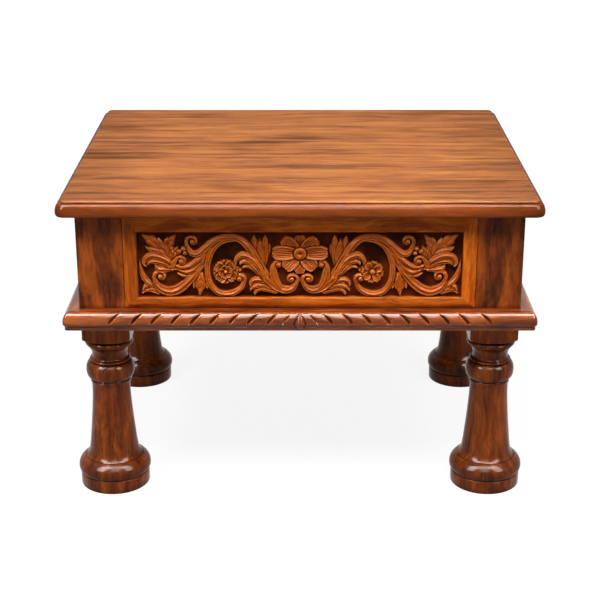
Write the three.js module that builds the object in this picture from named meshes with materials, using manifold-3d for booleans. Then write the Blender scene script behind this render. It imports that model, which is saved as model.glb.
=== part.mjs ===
// Low wooden table of the Indian bajot kind: a boarded top with a moulded edge, four corner posts,
// mitred frames between them that hold panels carved with scrolls and flowers, a base of mitred
// boards with a rope moulding, and four turned legs tenoned up through that base.
// Millimetres, Z up, front towards -Y. The origin is on the floor under the middle of the table.
import * as THREE from 'three';
import { mergeVertices } from 'three/addons/utils/BufferGeometryUtils.js';
import Module from 'manifold-3d';

const wasm = await Module();
wasm.setup();

// Overall sizes, over the edge of the top
const width = 600;
const depth = 500;
const height = 414;

// Clearance between two pieces that touch, and the reach of a cutter past the face that it opens
const fit = 0.3;
const overrun = 6;

// Top: boards glued edge to edge. The nose swells to its widest near the underside, and a quirk
// and a small round lie above it.
const boardCount = 5;
const topThickness = 20;
const topCornerRadius = 14;
const topNoseHeight = 16.2;
const topNoseReach = 6;
const topNoseBelly = 4.6;
const topNoseUndercut = 1.6;
const topQuirk = 1;

// Corner posts, set in from the edge of the top, with eased arrises
const postInset = 22;
const postSize = 58;
const postArris = 1.5;

// Mitred frames between the posts, tongued into them, with a rebate behind for the panel
const topRailWidth = 25;
const bottomRailWidth = 13.7;
const stileWidth = 17;
const openingHeight = 86.5;
const frameDepth = 22;
const frameEase = 1.2;
const lipThickness = 8.5;
const lipWidth = 6;
const tongueLength = 6;
const tongueThickness = 7;
const tongueSetback = 10;

// Carved panels: a ground board, with scrollwork standing on it in the opening of its frame
const groundThickness = 9;
const reliefHeight = 7.5;
const reliefMargin = 0.8;
const stemWidth = 10;
const rosetteReach = 36;
const rosetteRise = 26.5;
const rosetteBoss = 7.5;
const flowerReach = 13.5;
const flowerBoss = 3.6;
const budRadius = 3;

// Base: mitred boards with a rope nose outside, which carry the posts and rest on the legs
const baseThickness = 24;
const baseBoardWidth = 112;
const baseProjection = 20;
const ropeNoseHeight = 17.4;
const ropeNoseReach = 8;
const ropeNoseBelly = 3.4;
const ropeNoseUndercut = 3;
const ropeQuirk = 1;
const baseFilletInset = 2.5;
const ropePitch = 24.6;
const ropeFirstPitch = 19;
const ropePlainEnd = 62;
const ropePlainMiddle = 18;
const ropeCutRadius = 2.8;
const ropeCutDepth = 3.4;
const ropeCutLevel = 16;
const ropeSlant = 0.87;
const ropeTilt = 0.36;
const dropHeight = 20;
const dropWidth = 13;
const dropRelief = 1.8;

// Legs: a square block, turned below it down to a round foot, with a tenon through the base board
const legInsetX = 50;
const legInsetY = 76;
const tenonRadius = 11;
const blockSize = 62;
const blockHeight = 34.5;
const blockShoulder = 6;
const collarRadius = 30.8;
const collarHeight = 8.6;
const neckRadius = 22.9;
const neckHeight = 20.9;
const filletRadius = 26.4;
const filletHeight = 3.4;
const beadRadius = 31.6;
const beadHeight = 23.3;
const beadCove = 1.6;
const ringRadius = 26.6;
const ringHeight = 4.6;
const shaftTopRadius = 24.8;
const shaftFootRadius = 32;
const shaftFootHeight = 50;
const footRadius = 48;
const footMiddle = 26.5;
const footRise = 17;
const footQuirk = 18.5;
const baseRingRadius = 45.8;
const footEase = 1.6;
const footArc = [-Math.PI * 0.155, Math.PI * 0.38];
const ringArc = [-Math.PI / 3, Math.PI / 3];
const beadArc = [-Math.PI * 0.38, Math.PI * 0.38];

// Dowels between posts and base, and screwed cleats that hold the top down
const dowelRadius = 4;
const dowelLength = 36;
const cleatWidth = 20;
const cleatHeight = 18;
const screwLength = 30;
const screwRadius = 2;
const screwHeadRadius = 4;
const screwHeadTop = 2.8;
const screwHeadHeight = 2.6;
const screwPlaceShare = 0.2;

// Facets on round pieces
const legSides = 16;
const pinSides = 8;
const gougeSides = 4;
const bossSides = 6;
const cornerSteps = 3;
const noseSteps = 4;
const curlSteps = 5;

// Levels and places that follow from the sizes above
const topUnderside = height - topThickness;
const frameHeight = topRailWidth + openingHeight + bottomRailWidth;
const baseTop = topUnderside - frameHeight;
const baseUnderside = baseTop - baseThickness;
const postCentre = postInset + postSize / 2;
const baseInset = postInset - baseProjection;
const cleatUnderside = topUnderside - fit - cleatHeight;

// Colours of the finishes
const topWood = { color: 0xb9713f, roughness: 0.35, metalness: 0 };
const frameWood = { color: 0x9a4a1a, roughness: 0.35, metalness: 0 };
const darkWood = { color: 0x6b3516, roughness: 0.35, metalness: 0 };
const carvedWood = { color: 0x8a4318, roughness: 0.45, metalness: 0 };
const plainWood = { color: 0xb08a5c, roughness: 0.8, metalness: 0 };
const steel = { color: 0x9a9a98, roughness: 0.4, metalness: 1 };

// The four sides, each turned from the front one: span is its length, reach its distance out
const sides = [
  { name: 'front', turn: 0, span: width, reach: depth / 2 },
  { name: 'right', turn: Math.PI / 2, span: depth, reach: width / 2 },
  { name: 'back', turn: Math.PI, span: width, reach: depth / 2 },
  { name: 'left', turn: -Math.PI / 2, span: depth, reach: width / 2 },
];

// The four corners, each turned from the front left one, with the signs of its place
const corners = [
  { name: 'front_left', turn: 0, signX: -1, signY: -1 },
  { name: 'front_right', turn: Math.PI / 2, signX: 1, signY: -1 },
  { name: 'back_right', turn: Math.PI, signX: 1, signY: 1 },
  { name: 'back_left', turn: -Math.PI / 2, signX: -1, signY: 1 },
];

const across = new THREE.Vector3(1, 0, 0);
const inward = new THREE.Vector3(0, 1, 0);
const up = new THREE.Vector3(0, 0, 1);

// Geometry

// The shared points and the triangles of a geometry, without seams and pinched faces
function weld(geometry) {
  const bare = geometry.clone();
  bare.deleteAttribute('normal');
  bare.deleteAttribute('uv');
  const merged = mergeVertices(bare);
  const places = merged.attributes.position;
  const points = [];
  for (let index = 0; index < places.count; index += 1) {
    points.push(new THREE.Vector3().fromBufferAttribute(places, index));
  }
  const faces = [];
  for (let index = 0; index < merged.index.count; index += 3) {
    const face = [0, 1, 2].map((step) => merged.index.getX(index + step));
    if (new Set(face).size === 3) {
      faces.push(face);
    }
  }
  return { points, faces };
}

// A geometry from points and triangles, turned so that its faces point out
function outwards(points, faces) {
  let volume = 0;
  for (const [a, b, c] of faces) {
    volume += points[a].dot(new THREE.Vector3().crossVectors(points[b], points[c]));
  }
  const turned = volume < 0 ? faces.map(([a, b, c]) => [a, c, b]) : faces;
  const geometry = new THREE.BufferGeometry();
  geometry.setFromPoints(points);
  geometry.setIndex(turned.flat());
  geometry.computeVertexNormals();
  return geometry;
}

function toSolid(geometry) {
  const { points, faces } = weld(geometry);
  return new wasm.Manifold(new wasm.Mesh({
    numProp: 3,
    vertProperties: new Float32Array(points.flatMap((point) => point.toArray())),
    triVerts: new Uint32Array(faces.flat()),
  }));
}

function toGeometry(solid) {
  const mesh = solid.getMesh();
  const geometry = new THREE.BufferGeometry();
  geometry.setAttribute('position', new THREE.BufferAttribute(mesh.vertProperties, 3));
  geometry.setIndex(new THREE.BufferAttribute(mesh.triVerts, 1));
  geometry.computeVertexNormals();
  return geometry;
}

function cutAll(geometry, cutters) {
  let solid = toSolid(geometry);
  for (const cutter of cutters) {
    solid = solid.subtract(toSolid(cutter));
  }
  return toGeometry(solid);
}

function joinAll(geometries) {
  let solid = toSolid(geometries[0]);
  for (const geometry of geometries.slice(1)) {
    solid = solid.add(toSolid(geometry));
  }
  return toGeometry(solid);
}

// A closed skin over rings of points, capped at both ends as its flat outline says
function loft(rings, outline) {
  const clockwise = THREE.ShapeUtils.isClockWise(outline);
  const flat = clockwise ? [...outline].reverse() : outline;
  const loops = clockwise ? rings.map((ring) => [...ring].reverse()) : rings;
  const count = flat.length;
  const faces = [];
  for (let level = 0; level + 1 < loops.length; level += 1) {
    for (let side = 0; side < count; side += 1) {
      const here = level * count + side;
      const next = level * count + (side + 1) % count;
      faces.push([here, next, next + count], [here, next + count, here + count]);
    }
  }
  const last = (loops.length - 1) * count;
  for (const [a, b, c] of THREE.ShapeUtils.triangulateShape(flat, [])) {
    faces.push([a, c, b], [last + a, last + b, last + c]);
  }
  return outwards(loops.flat(), faces);
}

// A round piece standing on Z, from a profile of [radius, height] pairs that ends on the axis
function turned(profile, segments) {
  const points = profile.map(([radius, level]) => new THREE.Vector2(radius, level));
  const { points: places, faces } = weld(new THREE.LatheGeometry(points, segments));
  return outwards(places, faces).rotateX(Math.PI / 2);
}

// A round pin standing on Z from a lower to an upper level, at a place on the plan
function pin(radius, lower, upper, x, y) {
  const length = upper - lower;
  const geometry = new THREE.CylinderGeometry(radius, radius, length, pinSides);
  return geometry.rotateX(Math.PI / 2).translate(x, y, lower + length / 2);
}

// [across, along] pairs on an arc about a centre, from one angle to another
function arc(centre, radii, from, to, steps) {
  const pairs = [];
  for (let step = 0; step <= steps; step += 1) {
    const angle = from + (to - from) * step / steps;
    pairs.push([centre[0] + radii[0] * Math.cos(angle), centre[1] + radii[1] * Math.sin(angle)]);
  }
  return pairs;
}

function addPiece(parent, name, finish, geometry) {
  const piece = new THREE.Mesh(geometry, new THREE.MeshStandardMaterial(finish));
  piece.name = name;
  parent.add(piece);
  return piece;
}

// A group turned to one side of the table, with its outer plane at minus y
function sideGroup(parent, side) {
  const group = new THREE.Group();
  group.rotation.z = side.turn;
  parent.add(group);
  return group;
}

// A group turned to one corner of the table, at a level
function cornerGroup(parent, corner, insetX, insetY, level) {
  const group = new THREE.Group();
  const x = corner.signX * (width / 2 - insetX);
  const y = corner.signY * (depth / 2 - insetY);
  group.position.set(x, y, level);
  group.rotation.z = corner.turn;
  parent.add(group);
  return group;
}

// A bar from a section of [inwards, aside] pairs. Each end draws back with the distance inwards,
// by its own ratio, so that four bars round an opening meet in mitres.
function mitredBar(section, length, startRatio, endRatio, axes) {
  const end = (sign, ratio) => section.map(([inwards, aside]) => {
    const along = sign * (length / 2 - Math.max(inwards, 0) * ratio);
    return new THREE.Vector3()
      .addScaledVector(axes.along, along)
      .addScaledVector(axes.inwards, inwards)
      .addScaledVector(axes.aside, aside);
  });
  const outline = section.map(([inwards, aside]) => new THREE.Vector2(inwards, aside));
  return loft([end(-1, startRatio), end(1, endRatio)], outline);
}

// Top

// One level of the rounded outline of the top, drawn in by an inset
function topRing(inset, level) {
  const radius = topCornerRadius - inset;
  const ring = [];
  for (const corner of corners) {
    const centreX = corner.signX * (width / 2 - topCornerRadius);
    const centreY = corner.signY * (depth / 2 - topCornerRadius);
    for (let step = 0; step <= cornerSteps; step += 1) {
      const angle = corner.turn + Math.PI + (Math.PI / 2) * step / cornerSteps;
      const x = centreX + radius * Math.cos(angle);
      const y = centreY + radius * Math.sin(angle);
      ring.push(new THREE.Vector3(x, y, level));
    }
  }
  return ring;
}

// Insets and levels of a nose from its foot up: it is widest at its belly
function swollenNose(foot, noseHeight, reach, belly, undercut) {
  const under = arc([undercut, foot + belly], [-undercut, belly], -Math.PI / 2, 0, 1);
  const over = arc([reach, foot + belly], [-reach, noseHeight - belly],
    0, Math.PI / 2, noseSteps);
  return [...under, ...over.slice(1)];
}

// Insets and levels of the moulded edge from the underside up: nose, quirk, small round
function topEdge() {
  const nose = swollenNose(
    topUnderside, topNoseHeight, topNoseReach, topNoseBelly, topNoseUndercut);
  const roundHeight = topThickness - topNoseHeight;
  const roundInset = topNoseReach + topQuirk + roundHeight;
  const round = arc([roundInset, height - roundHeight], [-roundHeight, roundHeight],
    0, Math.PI / 2, cornerSteps);
  return [...nose, ...round];
}

function topSlab() {
  const rings = topEdge().map(([inset, level]) => topRing(inset, level));
  const outline = rings[0].map((point) => new THREE.Vector2(point.x, point.y));
  return loft(rings, outline);
}

// The boards, parted from one slab at their glued joints, with pilot holes for the screws
function addTop(parent) {
  const boardWidth = depth / boardCount;
  const pilots = screwPlaces().map(({ x, y }) => pin(
    screwRadius + fit, topUnderside - overrun, cleatUnderside + screwLength + fit, x, y));
  const slab = toSolid(cutAll(topSlab(), pilots));
  for (let board = 0; board < boardCount; board += 1) {
    const middle = (board + 1 / 2) * boardWidth - depth / 2;
    const share = new THREE.BoxGeometry(width + overrun, boardWidth - fit, topThickness + overrun);
    share.translate(0, middle, topUnderside + topThickness / 2);
    const piece = toGeometry(slab.intersect(toSolid(share)));
    addPiece(parent, `top_board_${board + 1}`, topWood, piece);
  }
}

// Posts

// Plan of the front left post: eased arrises, and a groove towards each of its two frames
function postOutline() {
  const half = postSize / 2;
  const eased = half - postArris;
  const near = tongueSetback - fit - half;
  const far = near + tongueThickness + fit + fit;
  const end = half - tongueLength - fit;
  return [
    [-eased, -half], [eased, -half], [half, -eased],
    [half, near], [end, near], [end, far], [half, far],
    [half, eased], [eased, half],
    [far, half], [far, end], [near, end], [near, half],
    [-eased, half], [-half, eased], [-half, -eased],
  ].map(([x, y]) => new THREE.Vector2(x, y));
}

// Places of a post's two dowels, from its centre out towards its two outer faces
function dowelOffsets() {
  const offset = postSize / 4;
  return [[-offset, 0], [0, -offset]];
}

function addPosts(parent) {
  const length = topUnderside - baseTop - fit - fit;
  const body = new THREE.ExtrudeGeometry(new THREE.Shape(postOutline()), {
    depth: length, bevelEnabled: false,
  });
  const holes = dowelOffsets().map(([x, y]) => pin(
    dowelRadius + fit, -overrun, dowelLength / 2, x, y));
  for (const corner of corners) {
    const group = cornerGroup(parent, corner, postCentre, postCentre, baseTop + fit);
    addPiece(group, `corner_post_${corner.name}`, darkWood, cutAll(body, holes));
  }
}

function addDowels(parent) {
  for (const corner of corners) {
    const group = cornerGroup(parent, corner, postCentre, postCentre, baseTop);
    dowelOffsets().forEach(([x, y], index) => {
      const dowel = pin(dowelRadius, -dowelLength / 2, dowelLength / 2, x, y);
      addPiece(group, `post_dowel_${corner.name}_${index + 1}`, plainWood, dowel);
    });
  }
}

// Frames

// Section of a frame piece: its face, the lip over the panel, and the rebate behind
function frameSection(memberWidth) {
  const rebate = memberWidth - lipWidth;
  return [
    [0, 0], [memberWidth - frameEase, 0], [memberWidth, frameEase], [memberWidth, lipThickness],
    [rebate, lipThickness], [rebate, frameDepth], [0, frameDepth],
  ];
}

// A stile has a tongue on its outer edge that slides into the post
function stileSection() {
  const tongueBack = tongueSetback + tongueThickness;
  return [
    ...frameSection(stileWidth),
    [0, tongueBack], [-tongueLength, tongueBack], [-tongueLength, tongueSetback],
    [0, tongueSetback],
  ];
}

// What a stile gives up in length, so that the mitres keep their clearance
function mitreLoss() {
  return 4 * fit;
}

// Distance between the two posts of a side
function betweenPosts(side) {
  return side.span - 2 * (postInset + postSize);
}

function addFrames(parent) {
  const down = up.clone().negate();
  const leftward = across.clone().negate();
  for (const side of sides) {
    const group = sideGroup(parent, side);
    const face = postInset - side.reach;
    const length = betweenPosts(side) - fit - fit;
    const bottom = baseTop + fit;
    const top = topUnderside - fit;
    const addRail = (name, memberWidth, inwards, level) => {
      const ratio = stileWidth / memberWidth;
      const axes = { along: across, inwards, aside: inward };
      const rail = mitredBar(frameSection(memberWidth), length, ratio, ratio, axes);
      addPiece(group, `${name}_${side.name}`, frameWood, rail.translate(0, face, level));
    };
    const addStile = (name, inwards, x) => {
      const axes = { along: up, inwards, aside: inward };
      const ratios = [bottomRailWidth / stileWidth, topRailWidth / stileWidth];
      const stile = mitredBar(stileSection(), top - bottom - mitreLoss(), ...ratios, axes);
      stile.translate(x, face, (top + bottom) / 2);
      addPiece(group, `${name}_${side.name}`, frameWood, stile);
    };
    addRail('frame_top_rail', topRailWidth, down, top);
    addRail('frame_bottom_rail', bottomRailWidth, up, bottom);
    addStile('frame_stile_left', across, -length / 2);
    addStile('frame_stile_right', leftward, length / 2);
  }
}

// Carved panels. Courses and outlines are given for the left half as [u, v] shares: u of half
// the opening's width from its middle, v of the opening's height from its lower edge.

// Stems: shares of the stem width at start, middle and end, and curls as centres and turns
const stems = [
  {
    courseShares: [
      [-0.67, 0.74], [-0.64, 0.66], [-0.59, 0.76], [-0.53, 0.86], [-0.44, 0.9], [-0.35, 0.83],
      [-0.29, 0.69], [-0.26, 0.52], [-0.21, 0.32], [-0.14, 0.15], [-0.08, 0.1],
    ],
    widthShares: [0.55, 1.15, 0.6], heightShare: 1, steps: 10,
    startCurl: { centreShare: [-0.655, 0.85], turns: -0.75 },
    endCurl: { centreShare: [-0.065, 0.27], turns: 0.85 },
  },
  {
    courseShares: [
      [-0.9, 0.32], [-0.88, 0.2], [-0.84, 0.1], [-0.79, 0.08], [-0.73, 0.13], [-0.69, 0.23],
      [-0.65, 0.33], [-0.62, 0.48], [-0.58, 0.62], [-0.53, 0.76], [-0.48, 0.86],
    ],
    widthShares: [0.5, 0.85, 0.7], heightShare: 0.93, steps: 8,
    startCurl: { centreShare: [-0.865, 0.32], turns: -0.75 },
  },
  {
    courseShares: [[-0.76, 0.4], [-0.71, 0.37], [-0.66, 0.4], [-0.61, 0.53]],
    widthShares: [0.5, 0.9, 0.8], heightShare: 0.86, steps: 3,
  },
  {
    courseShares: [
      [-0.55, 0.7], [-0.57, 0.58], [-0.57, 0.36], [-0.54, 0.19], [-0.46, 0.08], [-0.38, 0.1],
      [-0.335, 0.2],
    ],
    widthShares: [0.5, 0.75, 0.5], heightShare: 0.96, steps: 7,
    endCurl: { centreShare: [-0.375, 0.26], turns: 0.7 },
  },
  {
    courseShares: [[-0.98, 0.56], [-0.965, 0.36], [-0.93, 0.23], [-0.87, 0.12]],
    widthShares: [0.2, 0.55, 0.5], heightShare: 0.8, steps: 3,
  },
  {
    courseShares: [[-0.76, 0.46], [-0.83, 0.6], [-0.9, 0.65], [-0.955, 0.56]],
    widthShares: [0.9, 1, 0.3], heightShare: 0.75, steps: 4,
  },
  {
    courseShares: [[-0.12, 0.16], [-0.145, 0.22], [-0.165, 0.34], [-0.175, 0.45]],
    widthShares: [0.6, 0.7, 0.45], heightShare: 0.9, steps: 3,
    endCurl: { centreShare: [-0.143, 0.49], turns: -0.7 },
  },
  {
    courseShares: [[-0.4, 0.57], [-0.34, 0.65], [-0.27, 0.52], [-0.22, 0.35]],
    widthShares: [0.3, 1.1, 0.6], heightShare: 0.83, steps: 4,
  },
  {
    courseShares: [[-0.31, 0.15], [-0.25, 0.22], [-0.19, 0.18], [-0.14, 0.12]],
    widthShares: [0.3, 0.9, 0.6], heightShare: 0.78, steps: 3,
  },
];

// Leaves as toothed outlines that rise to a point
const leaves = [
  {
    outlineShares: [
      [-0.76, 0.48], [-0.86, 0.6], [-0.94, 0.75], [-0.905, 0.77], [-0.965, 0.96], [-0.885, 0.88],
      [-0.85, 0.95], [-0.83, 0.84], [-0.76, 0.96], [-0.785, 0.8], [-0.75, 0.68],
    ],
    peakShare: [-0.84, 0.76], heightShare: 0.8,
  },
  {
    outlineShares: [
      [-0.235, 0.42], [-0.3, 0.84], [-0.27, 0.8], [-0.275, 0.95], [-0.24, 0.86],
      [-0.215, 0.95], [-0.215, 0.8], [-0.185, 0.82],
    ],
    peakShare: [-0.24, 0.76], heightShare: 0.85,
  },
  {
    outlineShares: [[-0.83, 0.03], [-0.86, 0.12], [-0.96, 0.2], [-0.93, 0.12], [-0.985, 0.04]],
    peakShare: [-0.89, 0.08], heightShare: 0.75,
  },
  {
    outlineShares: [
      [-0.612, 0.3], [-0.672, 0.14], [-0.635, 0.12], [-0.612, 0.02], [-0.59, 0.12], [-0.56, 0.15],
    ],
    peakShare: [-0.612, 0.17], heightShare: 0.75,
  },
];

const budShares = [[-0.735, 0.7], [-0.737, 0.56], [-0.555, 0.95]];
const flowerPlaceShare = [-0.45, 0.4];
const rosettePlaceShare = [0, 0.64];
const rosettePetalShares = [[0, 0.72], [0.28, 0.97], [0.72, 0.97]];
const flowerPetalShares = [[0, 0.68], [0.5, 1]];
const petalTopShare = 0.8;
const petalRiseShare = 0.8;
const ridgeShares = [[-1, 0], [0, 1], [1, 0]];
const curlEndShare = 0.32;

// The opening that a side's panel fills, seen from outside
function openingOf(side) {
  return { halfWidth: betweenPosts(side) / 2 - stileWidth, height: openingHeight };
}

function placeIn(opening, [u, v], mirror) {
  return new THREE.Vector2(u * mirror * opening.halfWidth, v * opening.height);
}

// A point of the relief, from its place on the panel and its lift off the ground
function reliefPoint(place, lift) {
  return new THREE.Vector3(place.x, -lift, place.y);
}

// A ridge carved along a course, standing on the ground
function ridge(course, widths, rise, steps) {
  const spine = new THREE.SplineCurve(course);
  const rings = [];
  for (let step = 0; step <= steps; step += 1) {
    const along = step / steps;
    const heading = spine.getTangentAt(along);
    const side = new THREE.Vector2(-heading.y, heading.x);
    const endWidth = along < 1 / 2 ? widths[0] : widths[2];
    const halfWidth = THREE.MathUtils.lerp(widths[1], endWidth, Math.abs(2 * along - 1)) / 2;
    rings.push(ridgeShares.map(([aside, lift]) => reliefPoint(
      spine.getPointAt(along).addScaledVector(side, aside * halfWidth), lift * rise)));
  }
  const outline = ridgeShares.map(([aside, lift]) => new THREE.Vector2(aside, lift));
  return loft(rings, outline);
}

// The course of a curl that winds in from a point round its centre
function curlCourse(start, centre, turns) {
  const offset = start.clone().sub(centre);
  const course = [];
  for (let step = 0; step <= curlSteps; step += 1) {
    const along = step / curlSteps;
    const shrink = THREE.MathUtils.lerp(1, curlEndShare, along);
    const spoke = offset.clone().multiplyScalar(shrink);
    course.push(spoke.rotateAround(new THREE.Vector2(), along * turns * 2 * Math.PI).add(centre));
  }
  return course;
}

function carvedStem(opening, stem, mirror) {
  const course = stem.courseShares.map((share) => placeIn(opening, share, mirror));
  const widths = stem.widthShares.map((share) => share * stemWidth);
  const rise = stem.heightShare * reliefHeight;
  const solids = [ridge(course, widths, rise, stem.steps)];
  const addCurl = (curl, start, startWidth) => {
    const centre = placeIn(opening, curl.centreShare, mirror);
    const path = curlCourse(start, centre, curl.turns * mirror);
    solids.push(ridge(path, [startWidth, startWidth, startWidth * curlEndShare], rise, curlSteps));
  };
  if (stem.startCurl) {
    addCurl(stem.startCurl, course[0], widths[0]);
  }
  if (stem.endCurl) {
    addCurl(stem.endCurl, course[course.length - 1], widths[2]);
  }
  return solids;
}

// A fan of faces from an outline on the ground up to one peak, closed below
function peaked(outline, peak, rise) {
  const clockwise = THREE.ShapeUtils.isClockWise(outline);
  const edge = clockwise ? [...outline].reverse() : outline;
  const points = [...edge.map((place) => reliefPoint(place, 0)), reliefPoint(peak, rise)];
  const faces = THREE.ShapeUtils.triangulateShape(edge, []).map(([a, b, c]) => [a, c, b]);
  edge.forEach((_, index) => faces.push([index, (index + 1) % edge.length, edge.length]));
  return outwards(points, faces);
}

function carvedLeaf(opening, leaf, mirror) {
  const outline = leaf.outlineShares.map((share) => placeIn(opening, share, mirror));
  const peak = placeIn(opening, leaf.peakShare, mirror);
  return peaked(outline, peak, leaf.heightShare * reliefHeight);
}

// A low pointed bud, or the boss of a flower
function boss(centre, radius, rise) {
  const outline = [];
  for (let side = 0; side < bossSides; side += 1) {
    const spoke = new THREE.Vector2(radius, 0);
    const angle = side * 2 * Math.PI / bossSides;
    outline.push(spoke.rotateAround(new THREE.Vector2(), angle).add(centre));
  }
  return peaked(outline, centre, rise);
}

// A flower: petals with a sloping edge round a pointed boss
function carvedFlower(centre, reaches, petalCount, petalShares, bossSize) {
  const rise = reliefHeight * petalRiseShare;
  const edge = [];
  for (let petal = 0; petal < petalCount; petal += 1) {
    for (const [turnShare, reachShare] of petalShares) {
      const angle = (petal + turnShare - 1 / 2) * 2 * Math.PI / petalCount;
      edge.push(new THREE.Vector2(
        reaches[0] * reachShare * Math.cos(angle), reaches[1] * reachShare * Math.sin(angle)));
    }
  }
  const ring = (scale, lift) => edge.map((spoke) => reliefPoint(
    centre.clone().addScaledVector(spoke, scale), lift));
  const petals = loft([ring(1, 0), ring(petalTopShare, rise)], edge);
  return [petals, boss(centre, bossSize, reliefHeight)];
}

function scrollwork(opening) {
  const solids = [];
  for (const mirror of [1, -1]) {
    stems.forEach((stem) => solids.push(...carvedStem(opening, stem, mirror)));
    leaves.forEach((leaf) => solids.push(carvedLeaf(opening, leaf, mirror)));
    budShares.forEach((share) => solids.push(
      boss(placeIn(opening, share, mirror), budRadius, reliefHeight / 2)));
    solids.push(...carvedFlower(placeIn(opening, flowerPlaceShare, mirror),
      [flowerReach, flowerReach], 6, flowerPetalShares, flowerBoss));
  }
  solids.push(...carvedFlower(placeIn(opening, rosettePlaceShare, 1),
    [rosetteReach, rosetteRise], 8, rosettePetalShares, rosetteBoss));
  return solids;
}

// The ground board and the scrollwork on it, trimmed to clear the lip of the frame
function carvedPanel(side) {
  const opening = openingOf(side);
  const reach = 2 * (lipWidth - fit);
  const ground = new THREE.BoxGeometry(
    2 * opening.halfWidth + reach, groundThickness, opening.height + reach);
  ground.translate(0, groundThickness / 2, opening.height / 2);
  const trim = new THREE.BoxGeometry(
    2 * (opening.halfWidth - reliefMargin), 2 * reliefHeight, opening.height - 2 * reliefMargin);
  trim.translate(0, 0, opening.height / 2);
  const relief = toSolid(joinAll(scrollwork(opening))).intersect(toSolid(trim));
  return toGeometry(toSolid(ground).add(relief));
}

function addPanels(parent) {
  for (const side of sides) {
    const group = sideGroup(parent, side);
    const piece = addPiece(group, `carved_panel_${side.name}`, carvedWood, carvedPanel(side));
    const ground = postInset - side.reach + lipThickness + fit;
    piece.position.set(0, ground, baseTop + bottomRailWidth);
  }
}

// Base

// Section of a base board: the rope nose, a quirk above it and the square fillet below
function baseSection() {
  const noseTop = baseThickness - ropeQuirk;
  const filletTop = noseTop - ropeNoseHeight;
  const nose = swollenNose(
    filletTop, ropeNoseHeight, ropeNoseReach, ropeNoseBelly, ropeNoseUndercut);
  return [
    [baseFilletInset, 0], [baseFilletInset, filletTop], ...nose,
    [ropeNoseReach + ropeQuirk, noseTop], [ropeNoseReach + ropeQuirk, baseThickness],
    [baseBoardWidth, baseThickness], [baseBoardWidth, 0],
  ];
}

// Slanting gouge cuts of the rope, mirrored about the middle of the side
function ropeCuts(side, face) {
  const length = side.span / 2 - baseInset - ropePlainEnd - ropePlainMiddle - ropeFirstPitch;
  const count = Math.floor(length / ropePitch) + 1;
  const places = [ropePlainMiddle];
  for (let cut = 0; cut < count; cut += 1) {
    places.push(ropePlainMiddle + ropeFirstPitch + cut * ropePitch);
  }
  const cuts = [];
  for (const mirror of [-1, 1]) {
    for (const place of places) {
      const gouge = new THREE.CylinderGeometry(
        ropeCutRadius, ropeCutRadius, 2 * ropeNoseHeight, gougeSides);
      gouge.rotateX(Math.PI / 2).rotateY((Math.PI / 2 - ropeSlant) * -mirror);
      gouge.rotateX(-ropeTilt);
      cuts.push(gouge.translate(
        mirror * place, face + ropeCutDepth - ropeCutRadius, ropeCutLevel));
    }
  }
  return cuts;
}

// The drop carved on the nose at the middle of each side, pointed at the top
function carvedDrop(face) {
  const radius = dropWidth / 2;
  const belly = arc([0, 0], [radius, radius], -Math.PI / 2, Math.PI / 8, 3);
  const profile = [...belly, [0, dropHeight - radius]];
  const flattened = (dropRelief + ropeNoseReach / 2) / radius;
  const level = baseThickness - ropeQuirk - dropHeight + radius;
  return turned(profile, pinSides).scale(1, flattened, 1)
    .translate(0, face + ropeNoseReach / 2, level);
}

// Where the legs and dowels pass through the base, on the plan of the whole table
function baseBores() {
  const bores = [];
  for (const corner of corners) {
    const legX = corner.signX * (width / 2 - legInsetX);
    const legY = corner.signY * (depth / 2 - legInsetY);
    bores.push({
      place: new THREE.Vector3(legX, legY, 0), radius: tenonRadius, from: -overrun,
    });
    for (const [x, y] of dowelOffsets()) {
      const place = new THREE.Vector3(x, y, 0).applyAxisAngle(up, corner.turn);
      place.x += corner.signX * (width / 2 - postCentre);
      place.y += corner.signY * (depth / 2 - postCentre);
      bores.push({
        place, radius: dowelRadius, from: baseThickness - dowelLength / 2 - fit,
      });
    }
  }
  return bores;
}

function addBase(parent) {
  const axes = { along: across, inwards: inward, aside: up };
  for (const side of sides) {
    const group = sideGroup(parent, side);
    const face = baseInset - side.reach;
    const length = side.span - 2 * baseInset - 2 * fit;
    const board = mitredBar(baseSection(), length, 1, 1, axes).translate(0, face, 0);
    const bores = baseBores().map(({ place, radius, from }) => {
      const here = place.clone().applyAxisAngle(up, -side.turn);
      return pin(radius + fit, from, baseThickness + overrun, here.x, here.y);
    });
    const cut = cutAll(board, [...bores, ...ropeCuts(side, face)]);
    const body = joinAll([cut, carvedDrop(face)]);
    const piece = addPiece(group, `base_board_${side.name}`, darkWood, body);
    piece.position.z = baseUnderside;
  }
}

// Legs

// Profile of a leg from the floor to inside its block
function legProfile() {
  const blockBottom = baseUnderside - fit - blockHeight;
  const collarBottom = blockBottom - collarHeight;
  const filletTop = collarBottom - neckHeight;
  const beadTop = filletTop - filletHeight;
  const beadBottom = beadTop - beadHeight;
  const ringTop = beadBottom - beadCove;
  const ringBottom = ringTop - ringHeight;
  const foot = arc([shaftFootRadius, footMiddle], [footRadius - shaftFootRadius, footRise],
    ...footArc, noseSteps);
  const ring = arc([shaftTopRadius, (ringTop + ringBottom) / 2],
    [ringRadius - shaftTopRadius, ringHeight / 2], ...ringArc, 1);
  const bead = arc([shaftTopRadius, (beadTop + beadBottom) / 2],
    [beadRadius - shaftTopRadius, beadHeight / 2], ...beadArc, cornerSteps);
  return [
    [0, 0], [baseRingRadius, 0], [baseRingRadius, footQuirk - footEase], ...foot,
    [shaftFootRadius, shaftFootHeight], [shaftTopRadius, ringBottom - footEase], ...ring, ...bead,
    [filletRadius, beadTop], [filletRadius, filletTop],
    [neckRadius, filletTop + footEase], [neckRadius + footEase, filletTop + neckHeight / 2],
    [collarRadius, collarBottom], [collarRadius, blockBottom - footEase],
    [collarRadius - footEase, blockBottom], [0, blockBottom + blockShoulder],
  ];
}

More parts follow.
